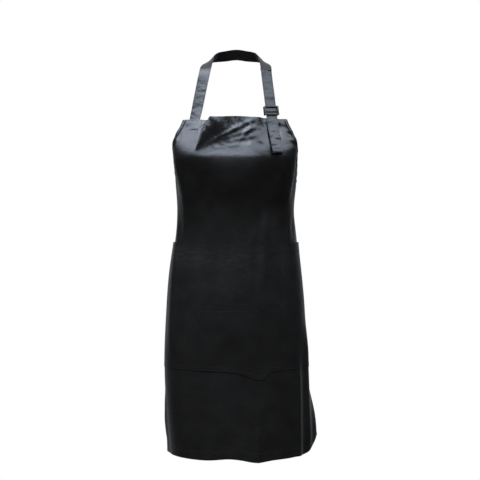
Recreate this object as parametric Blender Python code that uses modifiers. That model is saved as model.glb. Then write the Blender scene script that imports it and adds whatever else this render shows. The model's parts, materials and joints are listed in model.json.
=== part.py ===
"""Bib apron with a halter neck strap, two patch pockets and waist ties, in its worn shape.

Each cut piece of cloth is its own solid.  The cloth pieces share one worn surface, which is
given by flat cloth coordinates: s runs across the cloth from its centre line, z runs down it.
Metres, +Z up, +X to the wearer's left, -Y to the front.  The origin is the point where the
neck strap rests on the nape of the neck.
"""
import math

import bmesh
import bpy
import numpy as np
from mathutils import Matrix, Vector

# ---------------------------------------------------------------- driving dimensions (metres)
OBJECT_NAME = "artist_apron"

BIB_TOP_Z = -0.168          # top edge of the bib
WAIST_Z = -0.366            # lower end of the armholes, where the ties are sewn
HEM_Z = -0.920              # bottom edge of the skirt
BIB_HALF_WIDTH = 0.118      # flat half width at the bib's top
SKIRT_HALF_WIDTH = 0.290    # flat half width from the waist down
ARMHOLE_POWER = 1.27        # 1 is a straight armhole, more is a hollow one
CENTRE_SHIFT = -0.004       # the bib sits this far off the wearer's centre line

CLOTH = 0.0010              # thickness of one cloth panel
TURNING = 0.0008            # thickness of a turned hem or a binding leg
GAP = 0.0003                # clearance between pieces that touch
HEM_WIDTH = 0.020           # bottom hem and pocket mouth hems
SIDE_HEM_WIDTH = 0.010
FACING_DEPTH = 0.030        # turned hem at the bib's top
BINDING_LEG = 0.008
BINDING_ROOM = 0.0011       # between the binding's legs and the curved panel

POCKET_TOP_Z = -0.447       # mouth of the wide rear pocket
FRONT_POCKET_TOP_Z = -0.575  # mouth of the small front pocket
POCKET_BOTTOM_Z = -0.724
FRONT_POCKET_S = (-0.078, 0.108)    # side seams of the front pocket, sewn through all layers
POCKET_INSET = 0.004        # side seams of the rear pocket, inside the panel's edge
POCKET_BULGE = 0.0090       # how far a pocket's front stands off at its fullest
POCKET_MOUTH_EASE = 0.0012  # room for the mouth hem at the side seams

STRAP_WIDTH = 0.025
STRAP_SEAM = 0.004          # sewn strap ends stop this far from the facing's edges
STRAP_LEAN = 12.0           # degrees that the adjustable run leans back
STRAP_INWARD = 2.5          # degrees that it leans towards the neck
STRAP_STANDOFF = 0.0035     # middle of the run, in front of the bib's top edge
SLIDER_Z = -0.151           # middle of the slider
SLIDER_S = 0.0835           # where the adjustable run crosses the bib
TAIL_LENGTH = 0.100         # free strap end below the slider's middle
RUN_RISE = 0.050            # adjustable run above the slider's middle
SEWN_ROOM = 0.0015          # a flat strap end needs this much behind the curved facing
STUB_FROM, STUB_TO = 0.020, 0.092   # fixed shoulder stretch, measured up from the slider
FOLD_LENGTH = 0.014         # turned and stitched free end of the adjustable run
FOLD_INSET = 0.001          # the turned end lies this far inside the strap's edges
SHOULDER_X = -0.0695        # fold line of the neck loop at the sewn strap
SHOULDER_FACE = (0.0, -0.80, 0.60)   # way the strap faces where it goes over the shoulder
NECK_STRAP_S = -0.0875      # where the sewn strap meets the bib
# The neck loop's right half, from the shoulder to the nape: centres and facing directions.
NECK_LOOP = (
    ((-0.0665, -0.108, -0.0420), (-0.20, -0.52, 0.82)),
    ((-0.0625, -0.080, -0.0290), (-0.45, -0.20, 0.86)),
    ((-0.0575, -0.052, -0.0190), (-0.68, 0.12, 0.70)),
    ((-0.0455, -0.024, -0.0100), (-0.60, 0.55, 0.55)),
    ((-0.0260, -0.0065, -0.0045), (-0.32, 0.86, 0.42)),
)

SLIDER_WIDTH = 0.0340
SLIDER_HEIGHT = 0.0205
BAR_RADIUS = 0.0011
RAIL_WIDTH = 0.0032
TILT_ROOM = 0.0009          # between the strap and the slider's outer bars
BAR_MARGIN = 0.0002         # the rails stand this much proud of the bars, at the ends
RAIL_MARGIN = 0.0003        # and this much in front and behind
RAIL_ROUNDING = 0.0009
TAB_WIDTH = 0.021
TAB_REACH = 0.040           # the tab's two ends are sewn this far below the slider
TAB_SPREAD = 0.0010         # room for the bib's curve in front of the flat tab

TIE_WIDTH = 0.023
BOW_WIDTH = 0.022
TIE_DROP = 0.016            # the ties are sewn this far below the armhole's end
TIE_SWEEP = 4.6             # a tie leaves the waist for the knot after 3 of these steps
TIE_ROOM = 0.0012           # between the flat tie and the curved panel under it
KNOT_CENTRE = (0.0, 0.0345, WAIST_Z)
KNOT_SIZE = (0.026, 0.020, 0.024)
KNOT_ROUNDING = 0.0045
TAIL_DROP = 0.185
TAIL_X = 0.0135             # where a tail leaves the knot, either side of its middle
# One loop of the bow, out from the knot and back: x and z from the knot's centre, y in the frame.
BOW_LOOP = (
    ((0.034, 0.0295, -0.003), (0.00, -1.0, 0.1)),
    ((0.062, 0.0310, -0.010), (0.15, -1.0, 0.1)),
    ((0.080, 0.0370, -0.018), (0.75, -0.75, 0.1)),
    ((0.084, 0.0440, -0.021), (1.00, 0.20, 0.0)),
    ((0.074, 0.0520, -0.017), (0.45, 0.90, 0.0)),
    ((0.050, 0.0530, -0.008), (-0.05, 1.0, 0.0)),
    ((0.030, 0.0475, -0.003), (-0.20, 1.0, 0.0)),
)

TACK_WIDTH, TACK_HEIGHT = 0.0022, 0.0006
TACK_MARGIN = 0.006         # bartacks sit this far inside a mouth or a seam

AXIS_Y = -0.070             # depth of the wearer's side line
# The worn form: height, half width to -X, half width to +X, depth in front, depth behind.
WORN_FORM = (
    (-0.150, 0.168, 0.163, 0.090, 0.100),
    (-0.210, 0.157, 0.154, 0.110, 0.100),
    (-0.258, 0.1455, 0.143, 0.119, 0.100),
    (-0.303, 0.1370, 0.1366, 0.107, 0.096),
    (-0.356, 0.1325, 0.1290, 0.090, 0.090),
    (-0.436, 0.1405, 0.1385, 0.098, 0.100),
    (-0.505, 0.1505, 0.1465, 0.108, 0.110),
    (-0.596, 0.1580, 0.1550, 0.115, 0.116),
    (-0.720, 0.1650, 0.1620, 0.118, 0.118),
    (-0.803, 0.1620, 0.1625, 0.120, 0.118),
    (-0.925, 0.1525, 0.1600, 0.122, 0.115),
)
FLARE_CORNER = (0.042, -0.030, 0.042)   # how far the lower corner at +X is flung out
FLARE_S, FLARE_Z = 0.185, -0.690        # the flare grows from here to the corner

COLUMN_STEP = 0.024         # greatest spacing of the cloth mesh, across and down
ROW_STEP = 0.024
BIB_ROW_STEP = 0.0125       # the bib's edge is curved, so its rows are closer

CLOTH_COLOUR = (0.012, 0.013, 0.015)
THREAD_COLOUR = (0.020, 0.021, 0.024)
PLASTIC_COLOUR = (0.010, 0.010, 0.011)
CLOTH_ROUGHNESS, THREAD_ROUGHNESS, PLASTIC_ROUGHNESS = 0.45, 0.60, 0.35
SHARP_ANGLE = math.radians(40)


# ---------------------------------------------------------------- scene helpers
def clear_scene():
    for thing in list(bpy.data.objects):
        bpy.data.objects.remove(thing, do_unlink=True)


def new_collection(name):
    group = bpy.data.collections.new(name)
    bpy.context.scene.collection.children.link(group)
    return group


def new_material(name, colour, roughness):
    material = bpy.data.materials.new(name)
    material.use_nodes = True
    shader = material.node_tree.nodes["Principled BSDF"]
    shader.inputs["Base Color"].default_value = (*colour, 1.0)
    shader.inputs["Roughness"].default_value = roughness
    return material


def add_object(name, vertices, faces, colour=CLOTH_COLOUR, roughness=CLOTH_ROUGHNESS):
    mesh = bpy.data.meshes.new(name)
    mesh.from_pydata([tuple(v) for v in vertices], [], faces)
    mesh.update()
    thing = bpy.data.objects.new(name, mesh)
    PARTS.objects.link(thing)
    mesh.materials.append(new_material(name, colour, roughness))
    smooth_shade(mesh)
    return thing


def object_from_cage(name, cage, colour, roughness):
    """A material-coloured object from an edit mesh, which is used up."""
    mesh = bpy.data.meshes.new(name)
    cage.to_mesh(mesh)
    cage.free()
    thing = bpy.data.objects.new(name, mesh)
    mesh.materials.append(new_material(name, colour, roughness))
    return thing


def smooth_shade(mesh):
    mesh.shade_smooth()
    mesh.set_sharp_from_angle(angle=SHARP_ANGLE)


def thicken(thing, thickness, side):
    """Solidify an open surface: side 1 builds along its normals, 0 on both sides."""
    shell = thing.modifiers.new("thickness", "SOLIDIFY")
    shell.thickness = thickness
    shell.offset = side


# ---------------------------------------------------------------- the worn surface
def smooth_step(value):
    value = min(max(value, 0.0), 1.0)
    return value * value * (3.0 - 2.0 * value)


def form_at(z):
    """Half widths and depths of the worn form at one height, by a smooth curve."""
    rows = np.array(WORN_FORM)
    heights = rows[:, 0]
    slopes = np.gradient(rows[:, 1:], heights, axis=0)
    z = min(max(z, heights[-1]), heights[0])
    upper = 0
    while upper < len(heights) - 2 and z < heights[upper + 1]:
        upper += 1
    span = heights[upper + 1] - heights[upper]
    t = (z - heights[upper]) / span
    start = (2 * t**3 - 3 * t**2 + 1) * rows[upper, 1:] + (t**3 - 2 * t**2 + t) * span * slopes[upper]
    end = (3 * t**2 - 2 * t**3) * rows[upper + 1, 1:] + (t**3 - t**2) * span * slopes[upper + 1]
    return start + end


ARC_ANGLES = np.linspace(0.0, math.pi, 361)
ARC_TABLES = {}


def arc_table(z, side):
    """Cloth length from the front centre round one side of the form, against the angle."""
    key = (round(z, 6), side)
    if key not in ARC_TABLES:
        left, right, front, back = form_at(z)
        width = right if side > 0 else left
        depth = np.where(ARC_ANGLES < math.pi / 2, front, back)
        x = width * np.sin(ARC_ANGLES)
        y = -depth * np.cos(ARC_ANGLES)
        steps = np.hypot(np.diff(x), np.diff(y))
        ARC_TABLES[key] = np.concatenate(([0.0], np.cumsum(steps))), x, y
    return ARC_TABLES[key]


def worn_point(s, z):
    """Where the cloth's point at s across and height z lies on the wearer."""
    s = s + CENTRE_SHIFT
    side = 1 if s >= 0 else -1
    lengths, xs, ys = arc_table(z, side)
    x = side * float(np.interp(abs(s), lengths, xs))
    y = AXIS_Y + float(np.interp(abs(s), lengths, ys))
    reach = smooth_step((s - FLARE_S) / (SKIRT_HALF_WIDTH - FLARE_S))
    drop = smooth_step((FLARE_Z - z) / (FLARE_Z - HEM_Z))
    return Vector((x, y, z)) + Vector(FLARE_CORNER) * reach * drop


def worn_normal(s, z, step=0.002):
    across = worn_point(s + step, z) - worn_point(s - step, z)
    down = worn_point(s, z - step) - worn_point(s, z + step)
    return down.cross(across).normalized()


def lifted(s, z, offset):
    return worn_point(s, z) + worn_normal(s, z) * offset


def half_width(z):
    """Flat half width of the body panel at one height."""
    if z <= WAIST_Z:
        return SKIRT_HALF_WIDTH
    part = (BIB_TOP_Z - z) / (BIB_TOP_Z - WAIST_Z)
    return BIB_HALF_WIDTH + (SKIRT_HALF_WIDTH - BIB_HALF_WIDTH) * part**ARMHOLE_POWER


def spaced(stops, step):
    """The stops in order, with evenly spaced points between them."""
    points = []
    for low, high in zip(stops[:-1], stops[1:]):
        count = max(1, math.ceil(abs(high - low) / step - 1e-6))
        points += [low + (high - low) * i / count for i in range(count)]
    return points + [stops[-1]]


COLUMNS = spaced((-SKIRT_HALF_WIDTH, -SKIRT_HALF_WIDTH + POCKET_INSET, -SKIRT_HALF_WIDTH + SIDE_HEM_WIDTH,
                  FRONT_POCKET_S[0], FRONT_POCKET_S[1], SKIRT_HALF_WIDTH - SIDE_HEM_WIDTH,
                  SKIRT_HALF_WIDTH - POCKET_INSET, SKIRT_HALF_WIDTH), COLUMN_STEP)
BIB_ROWS = spaced((BIB_TOP_Z, BIB_TOP_Z - FACING_DEPTH, WAIST_Z), BIB_ROW_STEP)
ROWS = BIB_ROWS[:-1] + spaced((WAIST_Z, POCKET_TOP_Z, POCKET_TOP_Z - HEM_WIDTH, FRONT_POCKET_TOP_Z,
                               FRONT_POCKET_TOP_Z - HEM_WIDTH, POCKET_BOTTOM_Z,
                               HEM_Z + HEM_WIDTH, HEM_Z), ROW_STEP)


def cloth_patch(name, s_range, z_range, offset, thickness):
    """A piece of cloth on the worn surface: offset(s, z) is its inner face's height."""
    tiny = 1e-6
    columns = [s for s in COLUMNS if s_range[0] - tiny <= s <= s_range[1] + tiny]
    rows = [z for z in ROWS if z_range[1] - tiny <= z <= z_range[0] + tiny]
    vertices = []
    for z in rows:
        narrowing = half_width(z) / SKIRT_HALF_WIDTH
        for column in columns:
            s = column * narrowing
            vertices.append(lifted(s, z, offset(s, z)))
    faces = []
    for row in range(len(rows) - 1):
        for column in range(len(columns) - 1):
            corner = row * len(columns) + column
            below = corner + len(columns)
            faces.append((corner, below, below + 1, corner + 1))
    thicken(add_object(name, vertices, faces), thickness, 1)


# ---------------------------------------------------------------- cloth panels
def lobe(s, seams):
    """0 at each seam and 1 midway between two seams."""
    for low, high in zip(seams[:-1], seams[1:]):
        if low <= s <= high:
            return math.sin(math.pi * (s - low) / (high - low)) ** 0.8
    return 0.0


REAR_SEAMS = (-SKIRT_HALF_WIDTH + POCKET_INSET, *FRONT_POCKET_S, SKIRT_HALF_WIDTH - POCKET_INSET)


def pocket_gap(s, z, seams, top):
    """Free space behind a pocket panel: closed at the bottom, full from a third of the way up."""
    rise = smooth_step((z - POCKET_BOTTOM_Z) / (top - POCKET_BOTTOM_Z) / 0.45)
    return GAP + (POCKET_MOUTH_EASE + POCKET_BULGE * lobe(s, seams)) * rise


def rear_pocket_face(s, z):
    return CLOTH + pocket_gap(s, z, REAR_SEAMS, POCKET_TOP_Z)


def front_pocket_face(s, z):
    gap = pocket_gap(s, z, FRONT_POCKET_S, FRONT_POCKET_TOP_Z)
    return rear_pocket_face(s, z) + CLOTH + gap


def inside(face, thickness):
    """A face function for a layer that lies on the inner side of another one."""
    return lambda s, z: face(s, z) - GAP - thickness


def body_face(s, z):
    return 0.0


def build_panels():
    edge = SKIRT_HALF_WIDTH
    full = (-edge, edge)
    seam = edge - POCKET_INSET
    turned = inside(body_face, TURNING)
    cloth_patch("body_panel", full, (BIB_TOP_Z, HEM_Z), body_face, CLOTH)
    cloth_patch("bib_top_facing", (-edge + SIDE_HEM_WIDTH, edge - SIDE_HEM_WIDTH),
                (BIB_TOP_Z, BIB_TOP_Z - FACING_DEPTH), turned, TURNING)
    cloth_patch("bottom_hem", (-edge, edge), (HEM_Z + HEM_WIDTH, HEM_Z), turned, TURNING)
    cloth_patch("pocket_rear", (-seam, seam), (POCKET_TOP_Z, POCKET_BOTTOM_Z), rear_pocket_face, CLOTH)
    cloth_patch("pocket_rear_hem", (-seam, seam), (POCKET_TOP_Z, POCKET_TOP_Z - HEM_WIDTH),
                inside(rear_pocket_face, TURNING), TURNING)
    cloth_patch("pocket_front", FRONT_POCKET_S, (FRONT_POCKET_TOP_Z, POCKET_BOTTOM_Z),
                front_pocket_face, CLOTH)
    mouth = (FRONT_POCKET_TOP_Z, FRONT_POCKET_TOP_Z - HEM_WIDTH)
    cloth_patch("pocket_front_hem", FRONT_POCKET_S, mouth, inside(front_pocket_face, TURNING), TURNING)


def build_side_hem(name, side):
    """A turned hem up one side of the skirt, from above the bottom hem to the waist."""
    rows = [z for z in ROWS if HEM_Z + HEM_WIDTH - 1e-6 <= z <= WAIST_Z + 1e-6]
    rows[-1] += 2 * GAP
    rows[0] -= 2 * GAP
    turned = -GAP - TURNING
    edge = side * SKIRT_HALF_WIDTH
    inner = side * (SKIRT_HALF_WIDTH - SIDE_HEM_WIDTH)
    columns = (inner, edge) if side > 0 else (edge, inner)
    vertices = [lifted(s, z, turned) for z in rows for s in columns]
    faces = [(2 * i, 2 * i + 2, 2 * i + 3, 2 * i + 1) for i in range(len(rows) - 1)]
    thicken(add_object(name, vertices, faces), TURNING, 1)


def build_armhole_binding(name, side):
    """A folded tape round the armhole's edge: an outer leg, the edge and an inner leg."""
    rows = [BIB_TOP_Z - 0.004] + BIB_ROWS[1:-1] + [WAIST_Z + 0.006]
    vertices = []
    for z in rows:
        width = half_width(z)
        edge = worn_point(side * width, z)
        inward = (worn_point(side * (width - BINDING_LEG), z) - edge).normalized()
        along = worn_point(side * half_width(z - 0.002), z - 0.002) - worn_point(
            side * half_width(z + 0.002), z + 0.002)
        out = worn_normal(side * width, z)
        inward = (inward - along * inward.dot(along) / along.length_squared).normalized()
        inner_layers = TURNING + GAP if z > BIB_TOP_Z - FACING_DEPTH - 0.002 else 0.0
        outer = CLOTH + BINDING_ROOM
        inner = -BINDING_ROOM - inner_layers
        fold = -2 * GAP
        profile = ((BINDING_LEG, outer), (fold, outer), (fold, inner), (BINDING_LEG, inner),
                   (BINDING_LEG, inner - TURNING), (fold - TURNING, inner - TURNING),
                   (fold - TURNING, outer + TURNING), (BINDING_LEG, outer + TURNING))
        vertices += [edge + inward * across + out * up for across, up in profile]
    count = 8
    faces = []
    for row in range(len(rows) - 1):
        for i in range(count):
            a = row * count + i
            b = row * count + (i + 1) % count
            quad = (a, b, b + count, a + count)
            faces.append(quad if side > 0 else quad[::-1])
    first = tuple(range(count))
    last = tuple(range((len(rows) - 1) * count, len(rows) * count))
    faces += [first[::-1], last] if side > 0 else [first, last[::-1]]
    thing = add_object(name, vertices, faces)
    repair_normals(thing)


def repair_normals(thing):
    """Point all faces outwards."""
    cage = bmesh.new()
    cage.from_mesh(thing.data)
    bmesh.ops.recalc_face_normals(cage, faces=cage.faces)
    cage.to_mesh(thing.data)
    cage.free()


# ---------------------------------------------------------------- ribbons: straps and ties
def smooth_route(points, spacing=0.006):
    """Points along one smooth curve through the given points, evenly enough for a ribbon."""
    points = [np.array(p, dtype=float) for p in points]
    ends = [2 * points[0] - points[1]] + points + [2 * points[-1] - points[-2]]
    samples = []
    for before, start, end, after in zip(ends[:-3], ends[1:-2], ends[2:-1], ends[3:]):
        count = max(1, math.ceil(np.linalg.norm((end - start)[:3]) / spacing))
        for i in range(count):
            t = i / count
            samples.append(0.5 * (2 * start + (end - before) * t
                                  + (2 * before - 5 * start + 4 * end - after) * t * t
                                  + (3 * start - before - 3 * end + after) * t**3))
    samples.append(points[-1])
    return samples


def ribbon(name, stations, width, thickness, spacing=0.006, smooth=True):
    """A flat ribbon: each station is a centre point and the direction its face looks in."""
    joined = [(*centre, *face) for centre, face in stations]
    samples = smooth_route(joined, spacing) if smooth else [np.array(row) for row in joined]
    centres = [Vector(row[:3]) for row in samples]
    vertices = []
    for i, row in enumerate(samples):
        along = (centres[min(i + 1, len(centres) - 1)] - centres[max(i - 1, 0)]).normalized()
        face = Vector(row[3:])
        face = (face - along * face.dot(along)).normalized()
        across = along.cross(face) * (width / 2)
        vertices += [centres[i] - across, centres[i] + across]
    faces = [(2 * i, 2 * i + 1, 2 * i + 3, 2 * i + 2) for i in range(len(samples) - 1)]
    thicken(add_object(name, vertices, faces), thickness, 0)


def slider_frame():
    """Origin and axes of the slider: across the strap, up the strap and out of the cloth."""
    edge = lifted(SLIDER_S, BIB_TOP_Z, CLOTH)
    level = worn_normal(SLIDER_S, BIB_TOP_Z)
    level = Vector((level.x, level.y, 0.0)).normalized()
    flat_across = Vector((-level.y, level.x, 0.0))
    lean, inward = math.radians(STRAP_LEAN), math.radians(STRAP_INWARD)
    flat_up = Vector((0, 0, 1)) * math.cos(lean) - level * math.sin(lean)
    up = flat_up * math.cos(inward) - flat_across * math.sin(inward)
    across = flat_across * math.cos(inward) + flat_up * math.sin(inward)
    out = across.cross(up)
    rise = (SLIDER_Z - BIB_TOP_Z) / up.z
    return edge + out * STRAP_STANDOFF + up * rise, across, up, out


def in_frame(frame, across=0.0, up=0.0, out=0.0):
    origin, a, u, o = frame
    return origin + a * across + u * up + o * out


BAR_OUT = CLOTH / 2 + TILT_ROOM + BAR_RADIUS
MID_BAR_OUT = -(CLOTH / 2 + GAP + TURNING + GAP + BAR_RADIUS)


def build_slider(frame):
    """Moulded three-bar slider: two outer bars in front of the strap, one bar behind it."""
    origin, across, up, out = frame
    turn = Matrix((across, up, out)).transposed().to_4x4()
    bar_length = SLIDER_WIDTH - RAIL_WIDTH
    bar_up = SLIDER_HEIGHT / 2 - BAR_RADIUS - BAR_MARGIN
    lying = Matrix.Rotation(math.pi / 2, 4, "Y")
    pieces = []
    for rise, depth in ((bar_up, BAR_OUT), (0.0, MID_BAR_OUT), (-bar_up, BAR_OUT)):
        cage = bmesh.new()
        bmesh.ops.create_cone(cage, cap_ends=True, segments=16, radius1=BAR_RADIUS, radius2=BAR_RADIUS,
                              depth=bar_length, matrix=Matrix.Translation((0, rise, depth)) @ lying)
        pieces.append(cage)
    low = MID_BAR_OUT - BAR_RADIUS - RAIL_MARGIN
    high = BAR_OUT + BAR_RADIUS + RAIL_MARGIN
    size = Matrix.Diagonal((RAIL_WIDTH, SLIDER_HEIGHT, high - low, 1))
    for side in (-1, 1):
        middle = (side * bar_length / 2, 0.0, (high + low) / 2)
        cage = bmesh.new()
        bmesh.ops.create_cube(cage, size=1.0, matrix=Matrix.Translation(middle) @ size)
        bmesh.ops.bevel(cage, geom=cage.edges[:], offset=RAIL_ROUNDING, segments=2, affect="EDGES",
                        profile=0.5)
        pieces.append(cage)
    slider = object_from_cage("slider", pieces[0], PLASTIC_COLOUR, PLASTIC_ROUGHNESS)
    slider.matrix_world = Matrix.Translation(origin) @ turn
    PARTS.objects.link(slider)
    for number, cage in enumerate(pieces[1:], start=1):
        piece = object_from_cage(f"slider_union_{number}", cage, PLASTIC_COLOUR, PLASTIC_ROUGHNESS)
        piece.matrix_world = slider.matrix_world
        piece.hide_render = True
        piece.display_type = "WIRE"
        CUTTERS.objects.link(piece)
        union = slider.modifiers.new(f"union_{number}", "BOOLEAN")
        union.operation = "UNION"
        union.solver = "EXACT"
        union.object = piece


def build_slider_tab(frame):
    """Folded tab that is sewn behind the bib's top and holds the slider's rear bar."""
    turn_radius = BAR_RADIUS + GAP + TURNING / 2
    rear_leg = MID_BAR_OUT - turn_radius
    front_leg = MID_BAR_OUT + turn_radius
    hem_front = -(STRAP_STANDOFF + CLOTH + 2 * GAP + 1.5 * TURNING + TAB_SPREAD)
    hem_rear = hem_front - TURNING - GAP
    route = [(-TAB_REACH, hem_rear), (-0.018, hem_rear), (-0.008, rear_leg - GAP), (0.0, rear_leg)]
    route += [(turn_radius * math.sin(angle), MID_BAR_OUT - turn_radius * math.cos(angle))
              for angle in (math.pi * k / 8 for k in range(1, 8))]
    route += [(0.0, front_leg), (-0.006, front_leg - 0.0012), (-0.0145, hem_front),
              (-0.020, hem_front), (-TAB_REACH, hem_front)]
    centres = [in_frame(frame, up=up, out=out) for up, out in route]
    stations = []
    for i, centre in enumerate(centres):
        along = (centres[min(i + 1, len(centres) - 1)] - centres[max(i - 1, 0)]).normalized()
        stations.append((centre, frame[1].cross(along)))
    ribbon("slider_tab", stations, TAB_WIDTH, TURNING, smooth=False)


def straight_run(frame, low, high, steps, out=0.0):
    """Ribbon stations up the strap's line, from one distance above the slider to another."""
    heights = [low + (high - low) * k / steps for k in range(steps + 1)]
    return [(in_frame(frame, up=height, out=out), frame[3]) for height in heights]


def build_straps(frame):
    """The neck strap, as the stretches that move against each other."""
    run = straight_run(frame, -TAIL_LENGTH, RUN_RISE, 10)
    ribbon("strap_adjustable_run", run, STRAP_WIDTH, CLOTH, smooth=False)
    behind = -CLOTH - GAP
    stub = straight_run(frame, STUB_FROM, STUB_TO, 6, behind)
    ribbon("strap_shoulder_right", stub, STRAP_WIDTH, CLOTH, smooth=False)
    fold_from = FOLD_INSET - TAIL_LENGTH
    fold = straight_run(frame, fold_from, fold_from + FOLD_LENGTH, 2, CLOTH / 2 + GAP + TURNING / 2)
    ribbon("strap_end_fold", fold, STRAP_WIDTH - FOLD_INSET, TURNING, smooth=False)

    hidden = -(GAP + TURNING + SEWN_ROOM + CLOTH / 2)
    stations = [(lifted(NECK_STRAP_S, z, hidden), worn_normal(NECK_STRAP_S, z))
                for z in (BIB_TOP_Z - FACING_DEPTH + STRAP_SEAM, BIB_TOP_Z - STRAP_SEAM)]
    loop_end = in_frame(frame, up=STUB_TO + 0.003, out=behind)
    shoulder = Vector((SHOULDER_X, loop_end.y, loop_end.z))
    foot = stations[-1][0]
    stations += [(foot.lerp(shoulder, 0.28) + Vector((0.0, -0.004, 0.002)), (-0.25, -0.95, 0.18)),
                 (foot.lerp(shoulder, 0.64) + Vector((0.0, -0.005, 0.003)), (-0.16, -0.93, 0.30)),
                 (shoulder - Vector((0.0, 0.0004, 0.0017)), SHOULDER_FACE)]
    ribbon("strap_left_run", stations, STRAP_WIDTH, CLOTH, spacing=0.012)

    nape = ((0.0, 0.0005 + CLOTH / 2, 0.0), (0.0, 0.93, 0.36))
    mirrored = [((-c[0], c[1], c[2]), (-f[0], f[1], f[2])) for c, f in NECK_LOOP[::-1]]
    loop = [(shoulder, SHOULDER_FACE), *NECK_LOOP, nape, *mirrored, (loop_end, SHOULDER_FACE)]
    ribbon("neck_loop", loop, STRAP_WIDTH, CLOTH, spacing=0.011)


def waist_station(angle, offset, z=WAIST_Z):
    """A point and face direction on the back of the waist, by its angle from the front."""
    left, right, _, back = form_at(z)
    width = right if angle > 0 else left
    x = width * math.sin(angle)
    y = AXIS_Y - back * math.cos(angle)
    face = Vector((math.sin(angle) / width, -math.cos(angle) / back, 0.0)).normalized()
    return Vector((x, y, z)) + face * offset, face


def build_waist_tie(side, word):
    """One tie from its seam on the skirt's side, round the waist and into the knot."""
    layer = CLOTH + TIE_ROOM + CLOTH / 2
    sewn_z = WAIST_Z - TIE_DROP
    stations = [(lifted(side * s, sewn_z, layer), worn_normal(side * s, sewn_z))
                for s in (SKIRT_HALF_WIDTH - 0.030, SKIRT_HALF_WIDTH - 0.015, SKIRT_HALF_WIDTH)]
    half = form_at(WAIST_Z)[1 if side > 0 else 0]
    start_angle = math.asin(min(abs(stations[-1][0].x) / half, 1.0))
    for k in (1, 2, 3):
        angle = math.pi - start_angle * (1 - k / TIE_SWEEP)
        point, face = waist_station(side * angle, layer + 0.0012 * k)
        point.z = WAIST_Z - TIE_DROP * (1 - k / 3)
        stations.append((point, face))
    entry = Vector(KNOT_CENTRE)
    entry += Vector((side * (KNOT_SIZE[0] / 2 + GAP + 0.0005), -KNOT_SIZE[1] * 0.30, 0.0))
    stations.append((entry, (0, 1, 0)))
    ribbon(f"waist_tie_{word}", stations, TIE_WIDTH, CLOTH, spacing=0.010)


def build_bow(side, word):
    """The loop of the bow and the hanging tail on one side of the knot."""
    start_x = KNOT_SIZE[0] / 2 + GAP + 0.0016
    loop = [((start_x, 0.031, 0.0), (0.10, -1.0, 0.0)), *BOW_LOOP,
            ((start_x, 0.0410, 0.0), (-0.35, 1.0, 0.0))]
    stations = [((side * c[0], c[1], WAIST_Z + c[2]), (side * f[0], f[1], f[2])) for c, f in loop]
    ribbon(f"bow_loop_{word}", stations, BOW_WIDTH, CLOTH, spacing=0.008)

    top = WAIST_Z - KNOT_SIZE[2] / 2 - GAP - 0.0007
    tail_y = KNOT_CENTRE[1]
    tail = [((side * TAIL_X, tail_y, top), (0, 1, 0)),
            ((side * 0.0180, tail_y + 0.0010, top - 0.045), (side * 0.10, 1, 0)),
            ((side * 0.0245, tail_y - 0.0010, top - 0.100), (side * -0.08, 1, 0)),
            ((side * 0.0300, tail_y + 0.0005, top - TAIL_DROP), (side * 0.05, 1, 0))]
    ribbon(f"tie_tail_{word}", tail, TIE_WIDTH, CLOTH, spacing=0.016)


def build_knot():
    """The wrapped knot at the small of the back, a soft form from a coarse cage."""
    cage = bmesh.new()
    size = Matrix.Diagonal((*KNOT_SIZE, 1))
    bmesh.ops.create_cube(cage, size=1.0, matrix=Matrix.Translation(KNOT_CENTRE) @ size)
    bmesh.ops.bevel(cage, geom=cage.edges[:], offset=KNOT_ROUNDING, segments=3, affect="EDGES",
                    profile=0.5)
    knot = object_from_cage("bow_knot", cage, CLOTH_COLOUR, CLOTH_ROUGHNESS)
    smooth_shade(knot.data)
    PARTS.objects.link(knot)


# ---------------------------------------------------------------- thread
def build_bartack(name, s, z, face, length, upright):
    """A short dense bar of thread on the cloth."""
    out = worn_normal(s, z)
    across = Vector((-out.y, out.x, 0.0)).normalized()
    up = out.cross(across)
    long_way, short_way = (up, across) if upright else (across, up)
    centre = worn_point(s, z) + out * (face + GAP + 0.0002 + TACK_HEIGHT / 2)
    turn = Matrix((long_way, short_way, long_way.cross(short_way))).transposed().to_4x4()
    size = Matrix.Diagonal((length, TACK_WIDTH, TACK_HEIGHT, 1))
    cage = bmesh.new()
    bmesh.ops.create_cube(cage, size=1.0, matrix=Matrix.Translation(centre) @ turn @ size)
    bmesh.ops.bevel(cage, geom=cage.edges[:], offset=0.0002, segments=1, affect="EDGES")
    PARTS.objects.link(object_from_cage(name, cage, THREAD_COLOUR, THREAD_ROUGHNESS))


def build_bartacks():
    """Two across the straps' seams; on each side, one per pocket mouth corner and one on the tie."""
    strap_z = BIB_TOP_Z - FACING_DEPTH + TACK_MARGIN
    build_bartack("bartack_strap", NECK_STRAP_S, strap_z, CLOTH, 0.022, False)
    build_bartack("bartack_tab", SLIDER_S, strap_z, CLOTH, 0.008, False)
    from_seam = 0.003
    rear_z = POCKET_TOP_Z - TACK_MARGIN
    front_z = FRONT_POCKET_TOP_Z - TACK_MARGIN
    for side, word in ((-1, "left"), (1, "right")):
        s = side * (SKIRT_HALF_WIDTH - POCKET_INSET - from_seam)
        face = rear_pocket_face(s, rear_z) + CLOTH
        build_bartack(f"bartack_rear_pocket_{word}", s, rear_z, face, 0.008, True)
        s = FRONT_POCKET_S[0 if side < 0 else 1] - side * from_seam
        face = front_pocket_face(s, front_z) + CLOTH
        build_bartack(f"bartack_front_pocket_{word}", s, front_z, face, 0.008, True)
        s = side * (SKIRT_HALF_WIDTH - 0.024)
        build_bartack(f"bartack_tie_{word}", s, WAIST_Z - TIE_DROP, 2 * CLOTH + TIE_ROOM, 0.018, True)


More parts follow.
